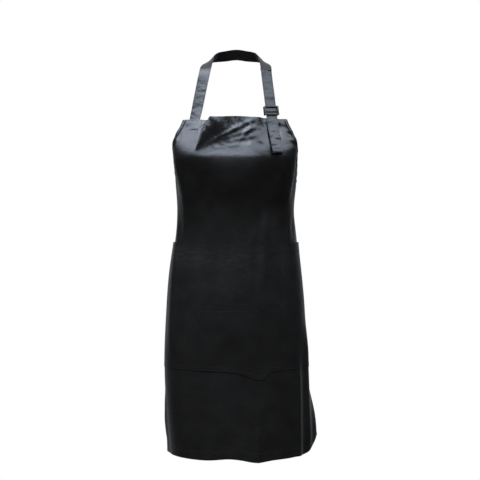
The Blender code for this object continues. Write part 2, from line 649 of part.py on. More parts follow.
clear_scene()
PARTS = new_collection(OBJECT_NAME)
CUTTERS = new_collection("cutters")
build_panels()
for hem_side, hem_word in ((-1, "left"), (1, "right")):
    build_side_hem(f"side_hem_{hem_word}", hem_side)
    build_armhole_binding(f"armhole_binding_{hem_word}", hem_side)
SLIDER_FRAME = slider_frame()
build_slider(SLIDER_FRAME)
build_slider_tab(SLIDER_FRAME)
build_straps(SLIDER_FRAME)
for tie_side, tie_word in ((-1, "left"), (1, "right")):
    build_waist_tie(tie_side, tie_word)
    build_bow(tie_side, tie_word)
build_knot()
build_bartacks()
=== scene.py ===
"""Looks of the bib apron: satin cloth with its folds, hems, stitches, straps and slider."""

import json
import math

import bmesh
import bpy
import numpy as np
from mathutils import Matrix, Vector, noise


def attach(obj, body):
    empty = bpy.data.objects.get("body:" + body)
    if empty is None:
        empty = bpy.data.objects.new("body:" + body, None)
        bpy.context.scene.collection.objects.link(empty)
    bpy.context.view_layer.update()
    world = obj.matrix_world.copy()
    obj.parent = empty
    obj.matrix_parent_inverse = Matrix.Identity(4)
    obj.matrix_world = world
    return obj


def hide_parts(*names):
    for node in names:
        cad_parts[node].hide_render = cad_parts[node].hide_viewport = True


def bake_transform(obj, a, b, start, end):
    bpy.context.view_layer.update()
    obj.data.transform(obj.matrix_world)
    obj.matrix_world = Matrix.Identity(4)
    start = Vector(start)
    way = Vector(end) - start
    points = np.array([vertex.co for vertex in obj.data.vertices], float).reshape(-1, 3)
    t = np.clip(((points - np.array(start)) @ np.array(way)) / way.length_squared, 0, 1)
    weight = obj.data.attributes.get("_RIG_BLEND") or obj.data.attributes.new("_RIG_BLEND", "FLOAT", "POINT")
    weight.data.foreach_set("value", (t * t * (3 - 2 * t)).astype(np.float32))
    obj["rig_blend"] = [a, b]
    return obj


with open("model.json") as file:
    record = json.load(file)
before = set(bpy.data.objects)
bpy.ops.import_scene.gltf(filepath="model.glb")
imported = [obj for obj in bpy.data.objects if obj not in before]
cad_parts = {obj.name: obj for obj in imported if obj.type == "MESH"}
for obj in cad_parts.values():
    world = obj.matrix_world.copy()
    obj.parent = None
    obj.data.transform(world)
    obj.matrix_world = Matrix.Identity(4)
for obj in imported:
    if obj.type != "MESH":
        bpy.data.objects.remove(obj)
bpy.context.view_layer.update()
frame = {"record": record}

# ---- the cut, as in the CAD (metres)
# s runs across the flat cloth from the middle of the front, z is the height of the worn cloth
BIB_TOP_Z = -0.168
WAIST_Z = -0.366
HEM_Z = -0.920
BIB_HALF_WIDTH = 0.118
SKIRT_HALF_WIDTH = 0.290
ARMHOLE_POWER = 1.27
CENTRE_SHIFT = -0.004
AXIS_Y = -0.070
# height, half width left and right of the middle, depth in front of and behind AXIS_Y
WORN_FORM = (
    (-0.150, 0.168, 0.163, 0.090, 0.100),
    (-0.210, 0.1515, 0.1485, 0.107, 0.100),
    (-0.258, 0.1415, 0.1390, 0.115, 0.100),
    (-0.303, 0.1370, 0.1366, 0.116, 0.096),
    (-0.356, 0.1325, 0.1290, 0.111, 0.090),
    (-0.436, 0.1405, 0.1385, 0.109, 0.100),
    (-0.505, 0.1505, 0.1465, 0.112, 0.110),
    (-0.596, 0.1580, 0.1550, 0.116, 0.116),
    (-0.720, 0.1650, 0.1620, 0.118, 0.118),
    (-0.803, 0.1620, 0.1625, 0.120, 0.118),
    (-0.925, 0.1525, 0.1600, 0.122, 0.115),
)
FLARE_CORNER = (0.042, -0.030, 0.042)   # how far the lower right corner is flung out
FLARE_S, FLARE_Z = 0.185, -0.690        # where that starts

HEM_WIDTH = 0.020
SIDE_HEM_WIDTH = 0.010
FACING_DEPTH = 0.030
BINDING_LEG = 0.008
POCKET_TOP_Z = -0.447
FRONT_POCKET_TOP_Z = -0.575
POCKET_BOTTOM_Z = -0.724
FRONT_POCKET_S = (-0.078, 0.108)
POCKET_INSET = 0.004
STRAP_WIDTH = 0.025
TIE_WIDTH = 0.023
BOW_WIDTH = 0.022

SIDES = ((-1, "left"), (1, "right"))

# ---- the fine cloth (metres)
CLOTH = 0.0006              # thickness of one layer of satin
LAYER = 0.0008              # from one layer's face to the next one's
POCKET_CLOTH = 0.0004       # the pockets' single layer is pressed thinner at its edges
COLUMN_STEP = 0.0046        # spacing of the cloth's mesh
ROW_STEP = 0.0046


# ---- worn surface
def smooth_step(value):
    value = np.clip(value, 0.0, 1.0)
    return value * value * (3.0 - 2.0 * value)


def unit(vectors):
    """The vectors, each made 1 long."""
    return vectors / np.linalg.norm(vectors, axis=-1, keepdims=True)


def distances(points):
    """How far each point lies along the line through all of them."""
    return np.concatenate(([0.0], np.cumsum(np.linalg.norm(np.diff(points, axis=0), axis=1))))


def form_at(z):
    """Half widths and depths of the worn form at one height, by a smooth curve."""
    rows = np.array(WORN_FORM)
    heights = rows[:, 0]
    slopes = np.gradient(rows[:, 1:], heights, axis=0)
    z = min(max(z, heights[-1]), heights[0])
    upper = 0
    while upper < len(heights) - 2 and z < heights[upper + 1]:
        upper += 1
    span = heights[upper + 1] - heights[upper]
    t = (z - heights[upper]) / span
    start = (2 * t**3 - 3 * t**2 + 1) * rows[upper, 1:] + (t**3 - 2 * t**2 + t) * span * slopes[upper]
    end = (3 * t**2 - 2 * t**3) * rows[upper + 1, 1:] + (t**3 - t**2) * span * slopes[upper + 1]
    return start + end


ARC_ANGLES = np.linspace(0.0, math.pi, 721)
CHEST_FLATNESS = 0.75       # across the bust the form is flatter than an ellipse
CHEST_Z, CHEST_SPREAD = -0.242, 0.045


def worn_row(s, z):
    """The cloth's points at s across (an array), all at height z."""
    s = np.asarray(s, float) + CENTRE_SHIFT
    left, right, front, back = form_at(z)
    depth = np.where(ARC_ANGLES < math.pi / 2, front, back)
    power = 2.0 / (2.0 + CHEST_FLATNESS * math.exp(-((z - CHEST_Z) / CHEST_SPREAD) ** 2))
    x, y = np.empty_like(s), np.empty_like(s)
    for side, width in ((-1, left), (1, right)):
        xs = width * np.sin(ARC_ANGLES) ** power
        ys = -depth * np.sign(np.cos(ARC_ANGLES)) * np.abs(np.cos(ARC_ANGLES)) ** power
        lengths = np.concatenate(([0.0], np.cumsum(np.hypot(np.diff(xs), np.diff(ys)))))
        chosen = (s >= 0) if side > 0 else (s < 0)
        x[chosen] = side * np.interp(np.abs(s[chosen]), lengths, xs)
        y[chosen] = AXIS_Y + np.interp(np.abs(s[chosen]), lengths, ys)
    reach = smooth_step((s - FLARE_S) / (SKIRT_HALF_WIDTH - FLARE_S))
    drop = smooth_step((FLARE_Z - z) / (FLARE_Z - HEM_Z))
    points = np.stack((x, y, np.full_like(x, z)), axis=1)
    return points + np.outer(reach * drop, FLARE_CORNER)


def half_width(z):
    """Flat half width of the body panel at one height."""
    if z <= WAIST_Z:
        return SKIRT_HALF_WIDTH
    part = (BIB_TOP_Z - z) / (BIB_TOP_Z - WAIST_Z)
    return BIB_HALF_WIDTH + (SKIRT_HALF_WIDTH - BIB_HALF_WIDTH) * max(part, 0.0)**ARMHOLE_POWER


def spaced(stops, step):
    """The stops in order, with evenly spaced values between them."""
    values = []
    for low, high in zip(stops[:-1], stops[1:]):
        count = max(1, math.ceil(abs(high - low) / step - 1e-6))
        values += [low + (high - low) * i / count for i in range(count)]
    return np.array(values + [stops[-1]])


# ---- folds in the cloth
def ridge(s, z, start, end, width, height, skew=0.0):
    """A long fold from start to end in flat coordinates, which fades out at both ends."""
    start, end = np.array(start), np.array(end)
    along = end - start
    length = np.linalg.norm(along)
    along = along / length
    across = np.array((-along[1], along[0]))
    u = ((s - start[0]) * along[0] + (z - start[1]) * along[1]) / length
    v = (s - start[0]) * across[0] + (z - start[1]) * across[1]
    v = v - skew * length * np.sin(math.pi * np.clip(u, 0, 1))
    fade = smooth_step(u / 0.25) * smooth_step((1 - u) / 0.25)
    return height * fade * np.exp(-(v / width) ** 2)


def fan(s, z, apex, angle, spread, height, reach, near=0.010):
    """One conical drag fold that starts at apex and widens in the direction angle (degrees)."""
    ds, dz = s - apex[0], z - apex[1]
    distance = np.hypot(ds, dz)
    turn = np.degrees(np.arctan2(dz, ds)) - angle
    turn = (turn + 180.0) % 360.0 - 180.0
    side = np.where(turn < 0, spread[0], spread[1])
    grow = smooth_step(distance / near) * np.clip(distance / reach, 0, 1)
    return height * grow * np.exp(-(turn / side) ** 2)


def wrinkles(s, z, size, stretch=(1.0, 1.0), seed=0.0):
    """Smooth noise between about -1 and 1, with features of the given size."""
    flat = np.stack((np.ravel(s) * stretch[0] / size, np.ravel(z) * stretch[1] / size), axis=1)
    values = [noise.noise(Vector((a, b, seed))) for a, b in flat]
    return np.array(values).reshape(np.shape(s))


BIB_APEX = (-0.0845, -0.241)    # the drag folds of the bib start here
SLIDER_S = 0.0835               # where the adjustable strap crosses the bib
TAB_PULL = 0.0026               # how far the slider's tab holds the cloth back
# direction in degrees, spread below and above it, height, and distance to the full height
DRAG_FOLDS = (
    (28.0, (3.2, 2.0), 0.0026, 0.100),
    (21.0, (2.4, 1.8), 0.0017, 0.110),
    (14.5, (2.4, 1.9), 0.0014, 0.110),
    (7.5, (2.8, 2.2), 0.0012, 0.120),
)
# start, end, width and height of the soft upright folds from the bust down to the hem
HANGING_FOLDS = (
    ((-0.118, -0.255), (-0.122, -0.430), 0.0090, 0.0030),
    ((0.104, -0.262), (0.130, -0.335), 0.0070, 0.0014),
    ((-0.212, -0.770), (-0.206, -0.960), 0.0080, 0.0036),
    ((0.070, -0.360), (0.064, -0.560), 0.0110, 0.0024),
    ((0.036, -0.400), (0.032, -0.590), 0.0090, 0.0016),
    ((-0.150, -0.420), (-0.165, -0.700), 0.0160, 0.0034),
    ((0.054, -0.830), (0.054, -0.990), 0.0040, 0.0028),
    ((0.160, -0.680), (0.170, -0.990), 0.0080, 0.0044),
    ((0.200, -0.600), (0.214, -0.990), 0.0160, 0.0060),
)


def strap_channel(s):
    """1 behind the adjustable strap, where the bib lies flat, and 0 away from it."""
    return smooth_step((0.032 - np.abs(s - SLIDER_S)) / 0.015)


def bib_folds(s, z):
    """Folds that the straps pull into the bib's upper part."""
    lift = fan(s, z, BIB_APEX, 63.0, (31.0, 5.0), 0.0270, 0.080)
    drag = sum(fan(s, z, BIB_APEX, *fold) for fold in DRAG_FOLDS)
    lift += drag * smooth_step((0.068 - s) / 0.030)
    bust = np.clip((BIB_TOP_Z - z) / 0.086, 0.0, 1.0) * smooth_step((z + 0.400) / 0.145)
    beside_tail = smooth_step((0.070 - s) / 0.030) + smooth_step((s - 0.094) / 0.018)
    lift += 0.0060 * bust * (1.0 + beside_tail) * smooth_step((0.170 - np.abs(s)) / 0.040)
    lift += ridge(s, z, (0.010, -0.215), (0.058, -0.176), 0.0050, 0.0018)
    lift -= ridge(s, z, (0.006, -0.226), (0.072, -0.232), 0.0060, 0.0016, skew=0.09)
    lift -= TAB_PULL * strap_channel(s) * smooth_step((z + 0.230) / 0.026)
    pulled = smooth_step(s / 0.030) * smooth_step((0.076 - s) / 0.012)
    pulled = pulled * smooth_step((z + 0.240) / 0.020)
    lift += 0.0006 * pulled * wrinkles(s + 0.8 * z, z - 0.6 * s, 0.0095, (0.7, 1.2), 14.0)
    return lift


def crumpled_bib(s, z):
    """Small creases all over the bib's upper part, finest along its seams."""
    upper = smooth_step((z + 0.245) / 0.030)
    loose = 0.0010 * wrinkles(s, z, 0.022, (0.8, 1.2), 2.0)
    loose += 0.0005 * wrinkles(s, z, 0.010, (1.0, 0.8), 4.0)
    hem_line = BIB_TOP_Z - FACING_DEPTH + 0.003
    gathers = 0.0010 * wrinkles(s, z, 0.0075, (1.0, 0.4), 6.0) * np.exp(-((z - hem_line) / 0.009) ** 2)
    return upper * (loose + gathers)


def gathered_edges(s, z):
    """Puckers that the binding's stitches draw along the armholes."""
    half = np.array([half_width(value) for value in z[:, 0]])[:, None]
    from_edge = half - np.abs(s)
    along = wrinkles(np.sign(s) * 0.1, z, 0.011, (1.0, 1.0), 8.0)
    held = smooth_step((z - WAIST_Z) / 0.03)
    return 0.0023 * along * held * np.exp(-((from_edge - 0.012) / 0.012) ** 2)


def fold_lift(s, z):
    """How far the cloth stands off the worn surface."""
    hanging = sum(ridge(s, z, *fold) for fold in HANGING_FOLDS)
    return bib_folds(s, z) + hanging + crumpled_bib(s, z) + gathered_edges(s, z)


def edge_lift(s, z):
    """How far the edges are raised or lowered: the bib's top beside its fold, and the hem."""
    top = smooth_step((z - BIB_TOP_Z + 0.045) / 0.045) * -0.0055 * np.exp(-((s + 0.040) / 0.030) ** 2)
    foot = smooth_step((HEM_Z + 0.050 - z) / 0.050)
    hem = 0.0050 * np.exp(-((s + 0.010) / 0.035) ** 2) - 0.0040 * np.exp(-((s - 0.052) / 0.025) ** 2)
    return top + foot * hem


DRAPE_STRIDE = 2            # the simulated cloth uses every second row and column
DRAPE_FRAMES = 24
DRAPE_LIMIT = 0.006         # farthest that the cloth may buckle outwards
WEARER_LIMIT = 0.0015       # and inwards, where the wearer holds it


def held_share(s, z):
    """How firmly each point is held: fully along the bib's seams, loosely inside the panels."""
    from_edge = np.array([half_width(value) for value in z[:, 0]])[:, None] - np.abs(s)
    edge = np.exp(-(from_edge / 0.012) ** 2)
    top = np.exp(-((BIB_TOP_Z - z) / 0.012) ** 2)
    return np.clip(np.maximum.reduce((edge, top, np.full_like(s, 0.08))), 0.0, 1.0)


def settled(points, normals, s, z):
    """Let the panel buckle and settle in a cloth simulation, held at its seams.

    What the simulation moves along the cloth is left out, so the cut keeps its outline.
    """
    rows, columns = (np.unique(np.append(np.arange(0, count, DRAPE_STRIDE), count - 1))
                     for count in points.shape[:2])
    pick = np.ix_(rows, columns)
    laid = points[pick].reshape(-1, 3)
    mesh = bpy.data.meshes.new("drape")
    mesh.from_pydata(laid.tolist(), [], grid_faces(len(rows), len(columns)))
    drape = bpy.data.objects.new("drape", mesh)
    bpy.context.scene.collection.objects.link(drape)
    pins = drape.vertex_groups.new(name="pins")
    for index, share in enumerate(held_share(s[pick], z[pick]).ravel()):
        pins.add([index], float(share), "REPLACE")
    cloth_modifier = drape.modifiers.new("settle", "CLOTH")
    physics = cloth_modifier.settings
    physics.quality = 8
    physics.mass = 0.10
    physics.tension_stiffness = physics.compression_stiffness = 12.0
    physics.shear_stiffness = 6.0
    physics.bending_stiffness = 0.02
    physics.shrink_min = -0.012
    physics.vertex_group_mass = "pins"
    physics.pin_stiffness = 1.0
    cloth_modifier.collision_settings.use_collision = False
    cloth_modifier.point_cache.frame_end = DRAPE_FRAMES
    for frame_number in range(1, DRAPE_FRAMES + 1):
        bpy.context.scene.frame_set(frame_number)
    mesh = drape.evaluated_get(bpy.context.evaluated_depsgraph_get()).data
    after = np.empty(len(mesh.vertices) * 3)
    mesh.vertices.foreach_get("co", after)
    bpy.data.objects.remove(drape, do_unlink=True)
    bpy.context.scene.frame_set(1)
    shift = np.sum((after.reshape(-1, 3) - laid) * normals[pick].reshape(-1, 3), axis=1)
    limit = np.where(shift < 0.0, WEARER_LIMIT, DRAPE_LIMIT)
    shift = (limit * np.tanh(shift / limit)).reshape(len(rows), len(columns))
    wide = np.array([np.interp(np.arange(points.shape[1]), columns, row) for row in shift])
    full = np.array([np.interp(np.arange(points.shape[0]), rows, column) for column in wide.T]).T
    return points + normals * full[..., None]


class Surface:
    """A grid of points with the directions that its outer face looks in."""

    def __init__(self, points, uv):
        self.points, self.uv = points, uv
        self.normals = unit(np.cross(np.gradient(points, axis=0), np.gradient(points, axis=1)))

    def sample(self, row, column):
        """Points and normals at fractional rows and columns."""
        row, column = np.broadcast_arrays(np.asarray(row, float), np.asarray(column, float))
        r0 = np.clip(row.astype(int), 0, self.points.shape[0] - 2)
        c0 = np.clip(column.astype(int), 0, self.points.shape[1] - 2)
        fr, fc = (row - r0)[..., None], (column - c0)[..., None]
        found = []
        for grid in (self.points, self.normals):
            top = grid[r0, c0] * (1 - fc) + grid[r0, c0 + 1] * fc
            low = grid[r0 + 1, c0] * (1 - fc) + grid[r0 + 1, c0 + 1] * fc
            found.append(top * (1 - fr) + low * fr)
        return found[0], unit(found[1])


class Cloth(Surface):
    """The body panel's surface, which every layer on it follows."""

    def __init__(self):
        self.u = spaced((-1.0, 0.0, 1.0), COLUMN_STEP / SKIRT_HALF_WIDTH)
        self.z = spaced((BIB_TOP_Z, WAIST_Z, HEM_Z), ROW_STEP)
        s = np.array([self.u * half_width(z) for z in self.z])
        z = np.repeat(self.z[:, None], len(self.u), axis=1)
        plain = Surface(np.array([worn_row(a, b) for a, b in zip(s, self.z)]), np.stack((s, z), axis=2))
        points = plain.points + plain.normals * fold_lift(s, z)[..., None]
        points[..., 2] += edge_lift(s, z)
        super().__init__(points, plain.uv)
        super().__init__(settled(points, self.normals, s, z), plain.uv)

    def at(self, s, z):
        """Points and normals at flat coordinates, for arrays of s and z."""
        s, z = np.broadcast_arrays(np.asarray(s, float), np.asarray(z, float))
        half = np.array([half_width(value) for value in np.ravel(z)]).reshape(z.shape)
        column = np.interp(s / half, self.u, np.arange(len(self.u)))
        row = np.interp(-z, -self.z, np.arange(len(self.z)))
        return self.sample(row, column)

    def layer(self, s, z, offset):
        """A surface that lies offset outside the panel, at flat coordinates in a grid."""
        points, normals = self.at(s, z)
        offset = np.broadcast_to(offset, s.shape)
        return Surface(points + normals * offset[..., None], np.stack((s, z), axis=2))


# ---- mesh helpers
def grid_faces(rows, columns):
    faces = []
    for row in range(rows - 1):
        for column in range(columns - 1):
            corner = row * columns + column
            faces.append((corner, corner + columns, corner + columns + 1, corner + 1))
    return faces


def tube_faces(rings, sides, first=0):
    """Faces between closed rings of points, whose numbers start at first."""
    faces = []
    for ring in range(rings - 1):
        for k in range(sides):
            a, b = (first + ring * sides + step for step in (k, (k + 1) % sides))
            faces.append((a, b, b + sides, a + sides))
    return faces


def add_mesh(name, vertices, faces, material, uv=None):
    mesh = bpy.data.meshes.new(name)
    mesh.from_pydata([tuple(v) for v in vertices], [], faces)
    mesh.materials.append(material)
    mesh.shade_smooth()
    if uv is not None:
        layer = mesh.uv_layers.new(name="cloth")
        corners = np.zeros(len(mesh.loops), int)
        mesh.loops.foreach_get("vertex_index", corners)
        layer.data.foreach_set("uv", np.asarray(uv, float)[corners].ravel())
    thing = bpy.data.objects.new(name, mesh)
    bpy.context.scene.collection.objects.link(thing)
    return thing


RIM_ANGLE = math.radians(55)    # cloth shades smoothly up to its cut edges


def apply_modifiers(thing):
    """Bake the object's modifiers into its mesh."""
    graph = bpy.context.evaluated_depsgraph_get()
    mesh = bpy.data.meshes.new_from_object(thing.evaluated_get(graph))
    thing.modifiers.clear()
    thing.data = mesh


def add_sheet(name, surface, material, thickness=CLOTH, side=1, subdivide=0):
    """A thin layer of cloth on a surface, built out along its normals."""
    rows, columns = surface.points.shape[:2]
    faces = grid_faces(rows, columns)
    thing = add_mesh(name, surface.points.reshape(-1, 3), faces, material, surface.uv.reshape(-1, 2))
    if subdivide:
        finer = thing.modifiers.new("finer", "SUBSURF")
        finer.levels = finer.render_levels = subdivide
        finer.boundary_smooth = "PRESERVE_CORNERS"
    shell = thing.modifiers.new("thickness", "SOLIDIFY")
    shell.thickness = thickness
    shell.offset = side
    apply_modifiers(thing)
    thing.data.set_sharp_from_angle(angle=RIM_ANGLE)
    return thing


def finish_piece(thing, body, nodes=()):
    """Ride on the body and stand for the CAD nodes."""
    if "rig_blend" not in thing:
        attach(thing, body)
    if nodes:
        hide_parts(*nodes)
    return thing


# ---- thread
STITCH = 0.0026             # length of one stitch
STITCH_PITCH = 0.0036       # from one stitch to the next
THREAD_RADIUS = 0.00028
GRAIN_STOPS = ((0.0, 0.35), (0.2, 0.85), (0.5, 1.0), (0.8, 0.85), (1.0, 0.35))
GRAIN_SIDES = 6
SEAM_STEP = 0.0015          # spacing of the points that a seam runs through


def grain_mesh(starts, ends, normals, radius):
    """One rounded grain of thread from each start to its end, as vertices and faces."""
    vertices, faces = [], []
    for start, end, normal in zip(starts, ends, normals):
        along = (end - start) / max(np.linalg.norm(end - start), 1e-9)
        across = np.cross(along, normal)
        first = len(vertices)
        for share, size in GRAIN_STOPS:
            centre = start + (end - start) * share + normal * radius * 0.35 * size
            for k in range(GRAIN_SIDES):
                angle = 2 * math.pi * k / GRAIN_SIDES
                spoke = across * math.cos(angle) + normal * math.sin(angle)
                vertices.append(centre + spoke * radius * size)
        faces += tube_faces(len(GRAIN_STOPS), GRAIN_SIDES, first)
        faces.append(tuple(first + k for k in reversed(range(GRAIN_SIDES))))
        last = first + (len(GRAIN_STOPS) - 1) * GRAIN_SIDES
        faces.append(tuple(last + k for k in range(GRAIN_SIDES)))
    return vertices, faces


def stitch_line(points, normals, pitch=STITCH_PITCH, length=STITCH):
    """Starts, ends and normals of the stitches along a dense line of points."""
    travelled = distances(points)
    begins = np.arange(pitch / 2, travelled[-1] - length, pitch)

    def read(distance, grid):
        return np.stack([np.interp(distance, travelled, grid[:, k]) for k in range(3)], axis=1)

    return read(begins, points), read(begins + length, points), read(begins, normals)


def add_thread(name, lines, radius=THREAD_RADIUS):
    """One object from several stitch lines."""
    starts, ends, normals = (np.concatenate(part) for part in zip(*lines))
    vertices, faces = grain_mesh(starts, ends, normals, radius)
    return add_mesh(name, vertices, faces, THREAD)


def cloth_seam(s, z, offset):
    """A stitch line on the apron's outer side through flat coordinates."""
    points, normals = cloth.at(s, z)
    return stitch_line(points + normals * np.reshape(offset, (-1, 1)), normals)


# ---- materials
def wire(tree, node, output, target, socket):
    tree.links.new(node.outputs[output], target.inputs[socket])


def set_inputs(node, **values):
    """Set a node's own inputs; an underscore stands for a space in an input's name."""
    for name, value in values.items():
        node.inputs[name.replace("_", " ")].default_value = value


def add_node(tree, kind, wires=(), **values):
    """A node with its own inputs set and its wires in place: (node, output, input) each."""
    node = tree.nodes.new(kind)
    set_inputs(node, **values)
    for source, output, socket in wires:
        wire(tree, source, output, node, socket)
    return node


def new_material(name):
    material = bpy.data.materials.new(name)
    material.use_nodes = True
    tree = material.node_tree
    return material, tree, tree.nodes["Principled BSDF"]


def two_tones(tree, source, shader, colour, shares, stops):
    """Base colour that runs between a darker and a lighter share of one colour."""
    tone = add_node(tree, "ShaderNodeValToRGB", [(source, "Fac", "Fac")])
    for element, share, stop in zip(tone.color_ramp.elements, shares, stops):
        element.position = stop
        element.color = (*(share * c for c in colour), 1.0)
    wire(tree, tone, "Color", shader, "Base Color")


def satin(name, colour=(0.0056, 0.0054, 0.0051), roughness=0.25, crease=0.40):
    """Black polyester satin: smooth sheen, fine diagonal twill, faint wear in tone."""
    material, tree, shader = new_material(name)
    set_inputs(shader, Specular_IOR_Level=0.62, Sheen_Weight=0.03, Sheen_Roughness=0.35,
               Sheen_Tint=(0.75, 0.83, 1.0, 1.0), Specular_Tint=(0.78, 0.86, 1.0, 1.0))
    where = tree.nodes.new("ShaderNodeUVMap")
    where.uv_map = "cloth"
    laid = [(where, "UV", "Vector")]

    cloudy = add_node(tree, "ShaderNodeTexNoise", laid, Scale=22.0, Detail=4.0)
    two_tones(tree, cloudy, shader, colour, (0.88, 1.18), (0.35, 0.70))
    gloss = add_node(tree, "ShaderNodeMapRange", [(cloudy, "Fac", "Value")], From_Min=0.3, From_Max=0.7,
                     To_Min=roughness - 0.015, To_Max=roughness + 0.02)
    wire(tree, gloss, "Result", shader, "Roughness")

    weave = add_node(tree, "ShaderNodeTexWave", laid, Scale=620.0, Distortion=1.2, Detail=1.0)
    weave.wave_type = "BANDS"
    weave.bands_direction = "DIAGONAL"
    fine = add_node(tree, "ShaderNodeBump", [(weave, "Fac", "Height")], Strength=0.20, Distance=0.0001)
    crumple = add_node(tree, "ShaderNodeTexNoise", laid, Scale=95.0, Detail=2.0)
    soft = add_node(tree, "ShaderNodeBump", [(crumple, "Fac", "Height"), (fine, "Normal", "Normal")],
                    Strength=crease, Distance=0.0010)
    wire(tree, soft, "Normal", shader, "Normal")
    return material


def surface_material(name, colour, roughness, grain, bump, gleam=0.5):
    """Thread or moulded plastic: one tone with a fine grain, in the object's own space."""
    material, tree, shader = new_material(name)
    set_inputs(shader, Specular_IOR_Level=gleam)
    where = tree.nodes.new("ShaderNodeTexCoord")
    speckle = add_node(tree, "ShaderNodeTexNoise", [(where, "Object", "Vector")], Scale=grain, Detail=3.0)
    two_tones(tree, speckle, shader, colour, (0.75, 1.4), (0.3, 0.7))
    wear = add_node(tree, "ShaderNodeMapRange", [(speckle, "Fac", "Value")], To_Min=roughness - 0.08,
                    To_Max=roughness + 0.12)
    wire(tree, wear, "Result", shader, "Roughness")
    relief = add_node(tree, "ShaderNodeBump", [(speckle, "Fac", "Height")], Strength=bump, Distance=0.0002)
    wire(tree, relief, "Normal", shader, "Normal")
    return material


SATIN = satin("satin")
TAPE = satin("satin_tape", colour=(0.0060, 0.0058, 0.0056), roughness=0.33, crease=0.45)
THREAD = surface_material("thread", (0.0040, 0.0042, 0.0048), 0.60, 2500.0, 0.5, gleam=0.2)
PLASTIC = surface_material("moulded_plastic", (0.010, 0.010, 0.011), 0.30, 900.0, 0.15)

# ---- panels, hems and pockets
SKIRT = SKIRT_HALF_WIDTH
REAR_SEAM = SKIRT - POCKET_INSET
REAR_SEAMS = (-REAR_SEAM, *FRONT_POCKET_S, REAR_SEAM)
FINE = 0.0030               # spacing of the layers' meshes
MOUTH_LIP = 0.0012          # the pocket cloth reaches this far above its turned hem
HEM_BEHIND = LAYER * 0.92   # the turned hem lies this far behind it


def lobes(s, seams):
    """0 at each seam and 1 midway between two seams."""
    value = np.zeros_like(s)
    for low, high in zip(seams[:-1], seams[1:]):
        part = np.clip((s - low) / (high - low), 0.0, 1.0)
        inside = (s >= low) & (s <= high)
        value = np.where(inside, np.sin(math.pi * part) ** 0.8, value)
    return value


def flat_grid(s_range, z_range, step=FINE):
    """Arrays of s and z over a rectangle of the skirt, from the top down."""
    columns = spaced(s_range, step)
    rows = spaced(z_range, step)
    return np.meshgrid(columns, rows)


def bib_grid(z_range, inset, step=FINE):
    """Arrays of s and z on the bib, kept inset from the armhole edges."""
    rows = spaced(z_range, step)
    share = spaced((-1.0, 1.0), step / BIB_HALF_WIDTH)
    s = np.array([share * (half_width(z) - inset) for z in rows])
    return s, np.repeat(rows[:, None], len(share), axis=1)


def pocket_lift(s, z, seams, top, bulge):
    """How far a pocket stands off what is behind it: nothing at its seams and bottom."""
    rise = smooth_step((z - POCKET_BOTTOM_Z) / (top - POCKET_BOTTOM_Z) / 0.6)
    return LAYER + bulge * lobes(s, seams) * rise


def rear_lift(s, z):
    """How far the wide pocket stands off the body panel."""
    return pocket_lift(s, z, REAR_SEAMS, POCKET_TOP_Z, 0.0030)


def front_lift(s, z):
    """How far the front pocket stands off the body panel, on top of the wide one."""
    return rear_lift(s, z) + pocket_lift(s, z, FRONT_POCKET_S, FRONT_POCKET_TOP_Z, 0.0022)


def pocket_sag(s, z):
    """The bottom seam hangs down where a fold pulls it, and the mouth rises at the sides."""
    near = smooth_step((POCKET_BOTTOM_Z + 0.090 - z) / 0.090)
    at_mouth = smooth_step((z - POCKET_TOP_Z + 0.090) / 0.090)
    mouth = 0.0060 * smooth_step((np.abs(s) - 0.080) / 0.100) * at_mouth
    spread = np.where(s < 0.060, 0.042, 0.016)
    pull = 0.0190 * np.exp(-((s - 0.060) / spread) ** 2)
    return mouth - near * pull


def build_body():
    body = add_sheet("apron_body", cloth, SATIN, subdivide=1)
    finish_piece(body, "apron", ["body_panel"])


def build_hem(name, grid, node):
    hem = add_sheet(name, cloth.layer(*grid, -LAYER), TAPE)
    finish_piece(hem, "apron", [node])


def build_hems():
    build_hem("bib_facing", bib_grid((BIB_TOP_Z, BIB_TOP_Z - FACING_DEPTH), 0.004),
              "bib_top_facing")
    build_hem("skirt_hem", flat_grid((-SKIRT, SKIRT), (HEM_Z + HEM_WIDTH, HEM_Z)),
              "bottom_hem")
    for side, word in SIDES:
        edges = sorted((side * SKIRT, side * (SKIRT - SIDE_HEM_WIDTH)))
        build_hem(f"skirt_side_hem_{word}", flat_grid(edges, (WAIST_Z, HEM_Z + HEM_WIDTH + 0.001)),
                  f"side_hem_{word}")


def build_pocket(name, s_range, top, lift, node):
    s, z = flat_grid(s_range, (top, POCKET_BOTTOM_Z))
    outer = cloth.layer(s, z + pocket_sag(s, z), lift(s, z))
    panel = add_sheet(name, outer, SATIN, thickness=POCKET_CLOTH)
    finish_piece(panel, "apron", [node])
    s, z = flat_grid(s_range, (top - MOUTH_LIP, top - HEM_WIDTH))
    behind = cloth.layer(s, z + pocket_sag(s, z), lift(s, z) - HEM_BEHIND)
    hem = add_sheet(f"{name}_hem", behind, TAPE, thickness=POCKET_CLOTH)
    finish_piece(hem, "apron", [f"{node}_hem"])


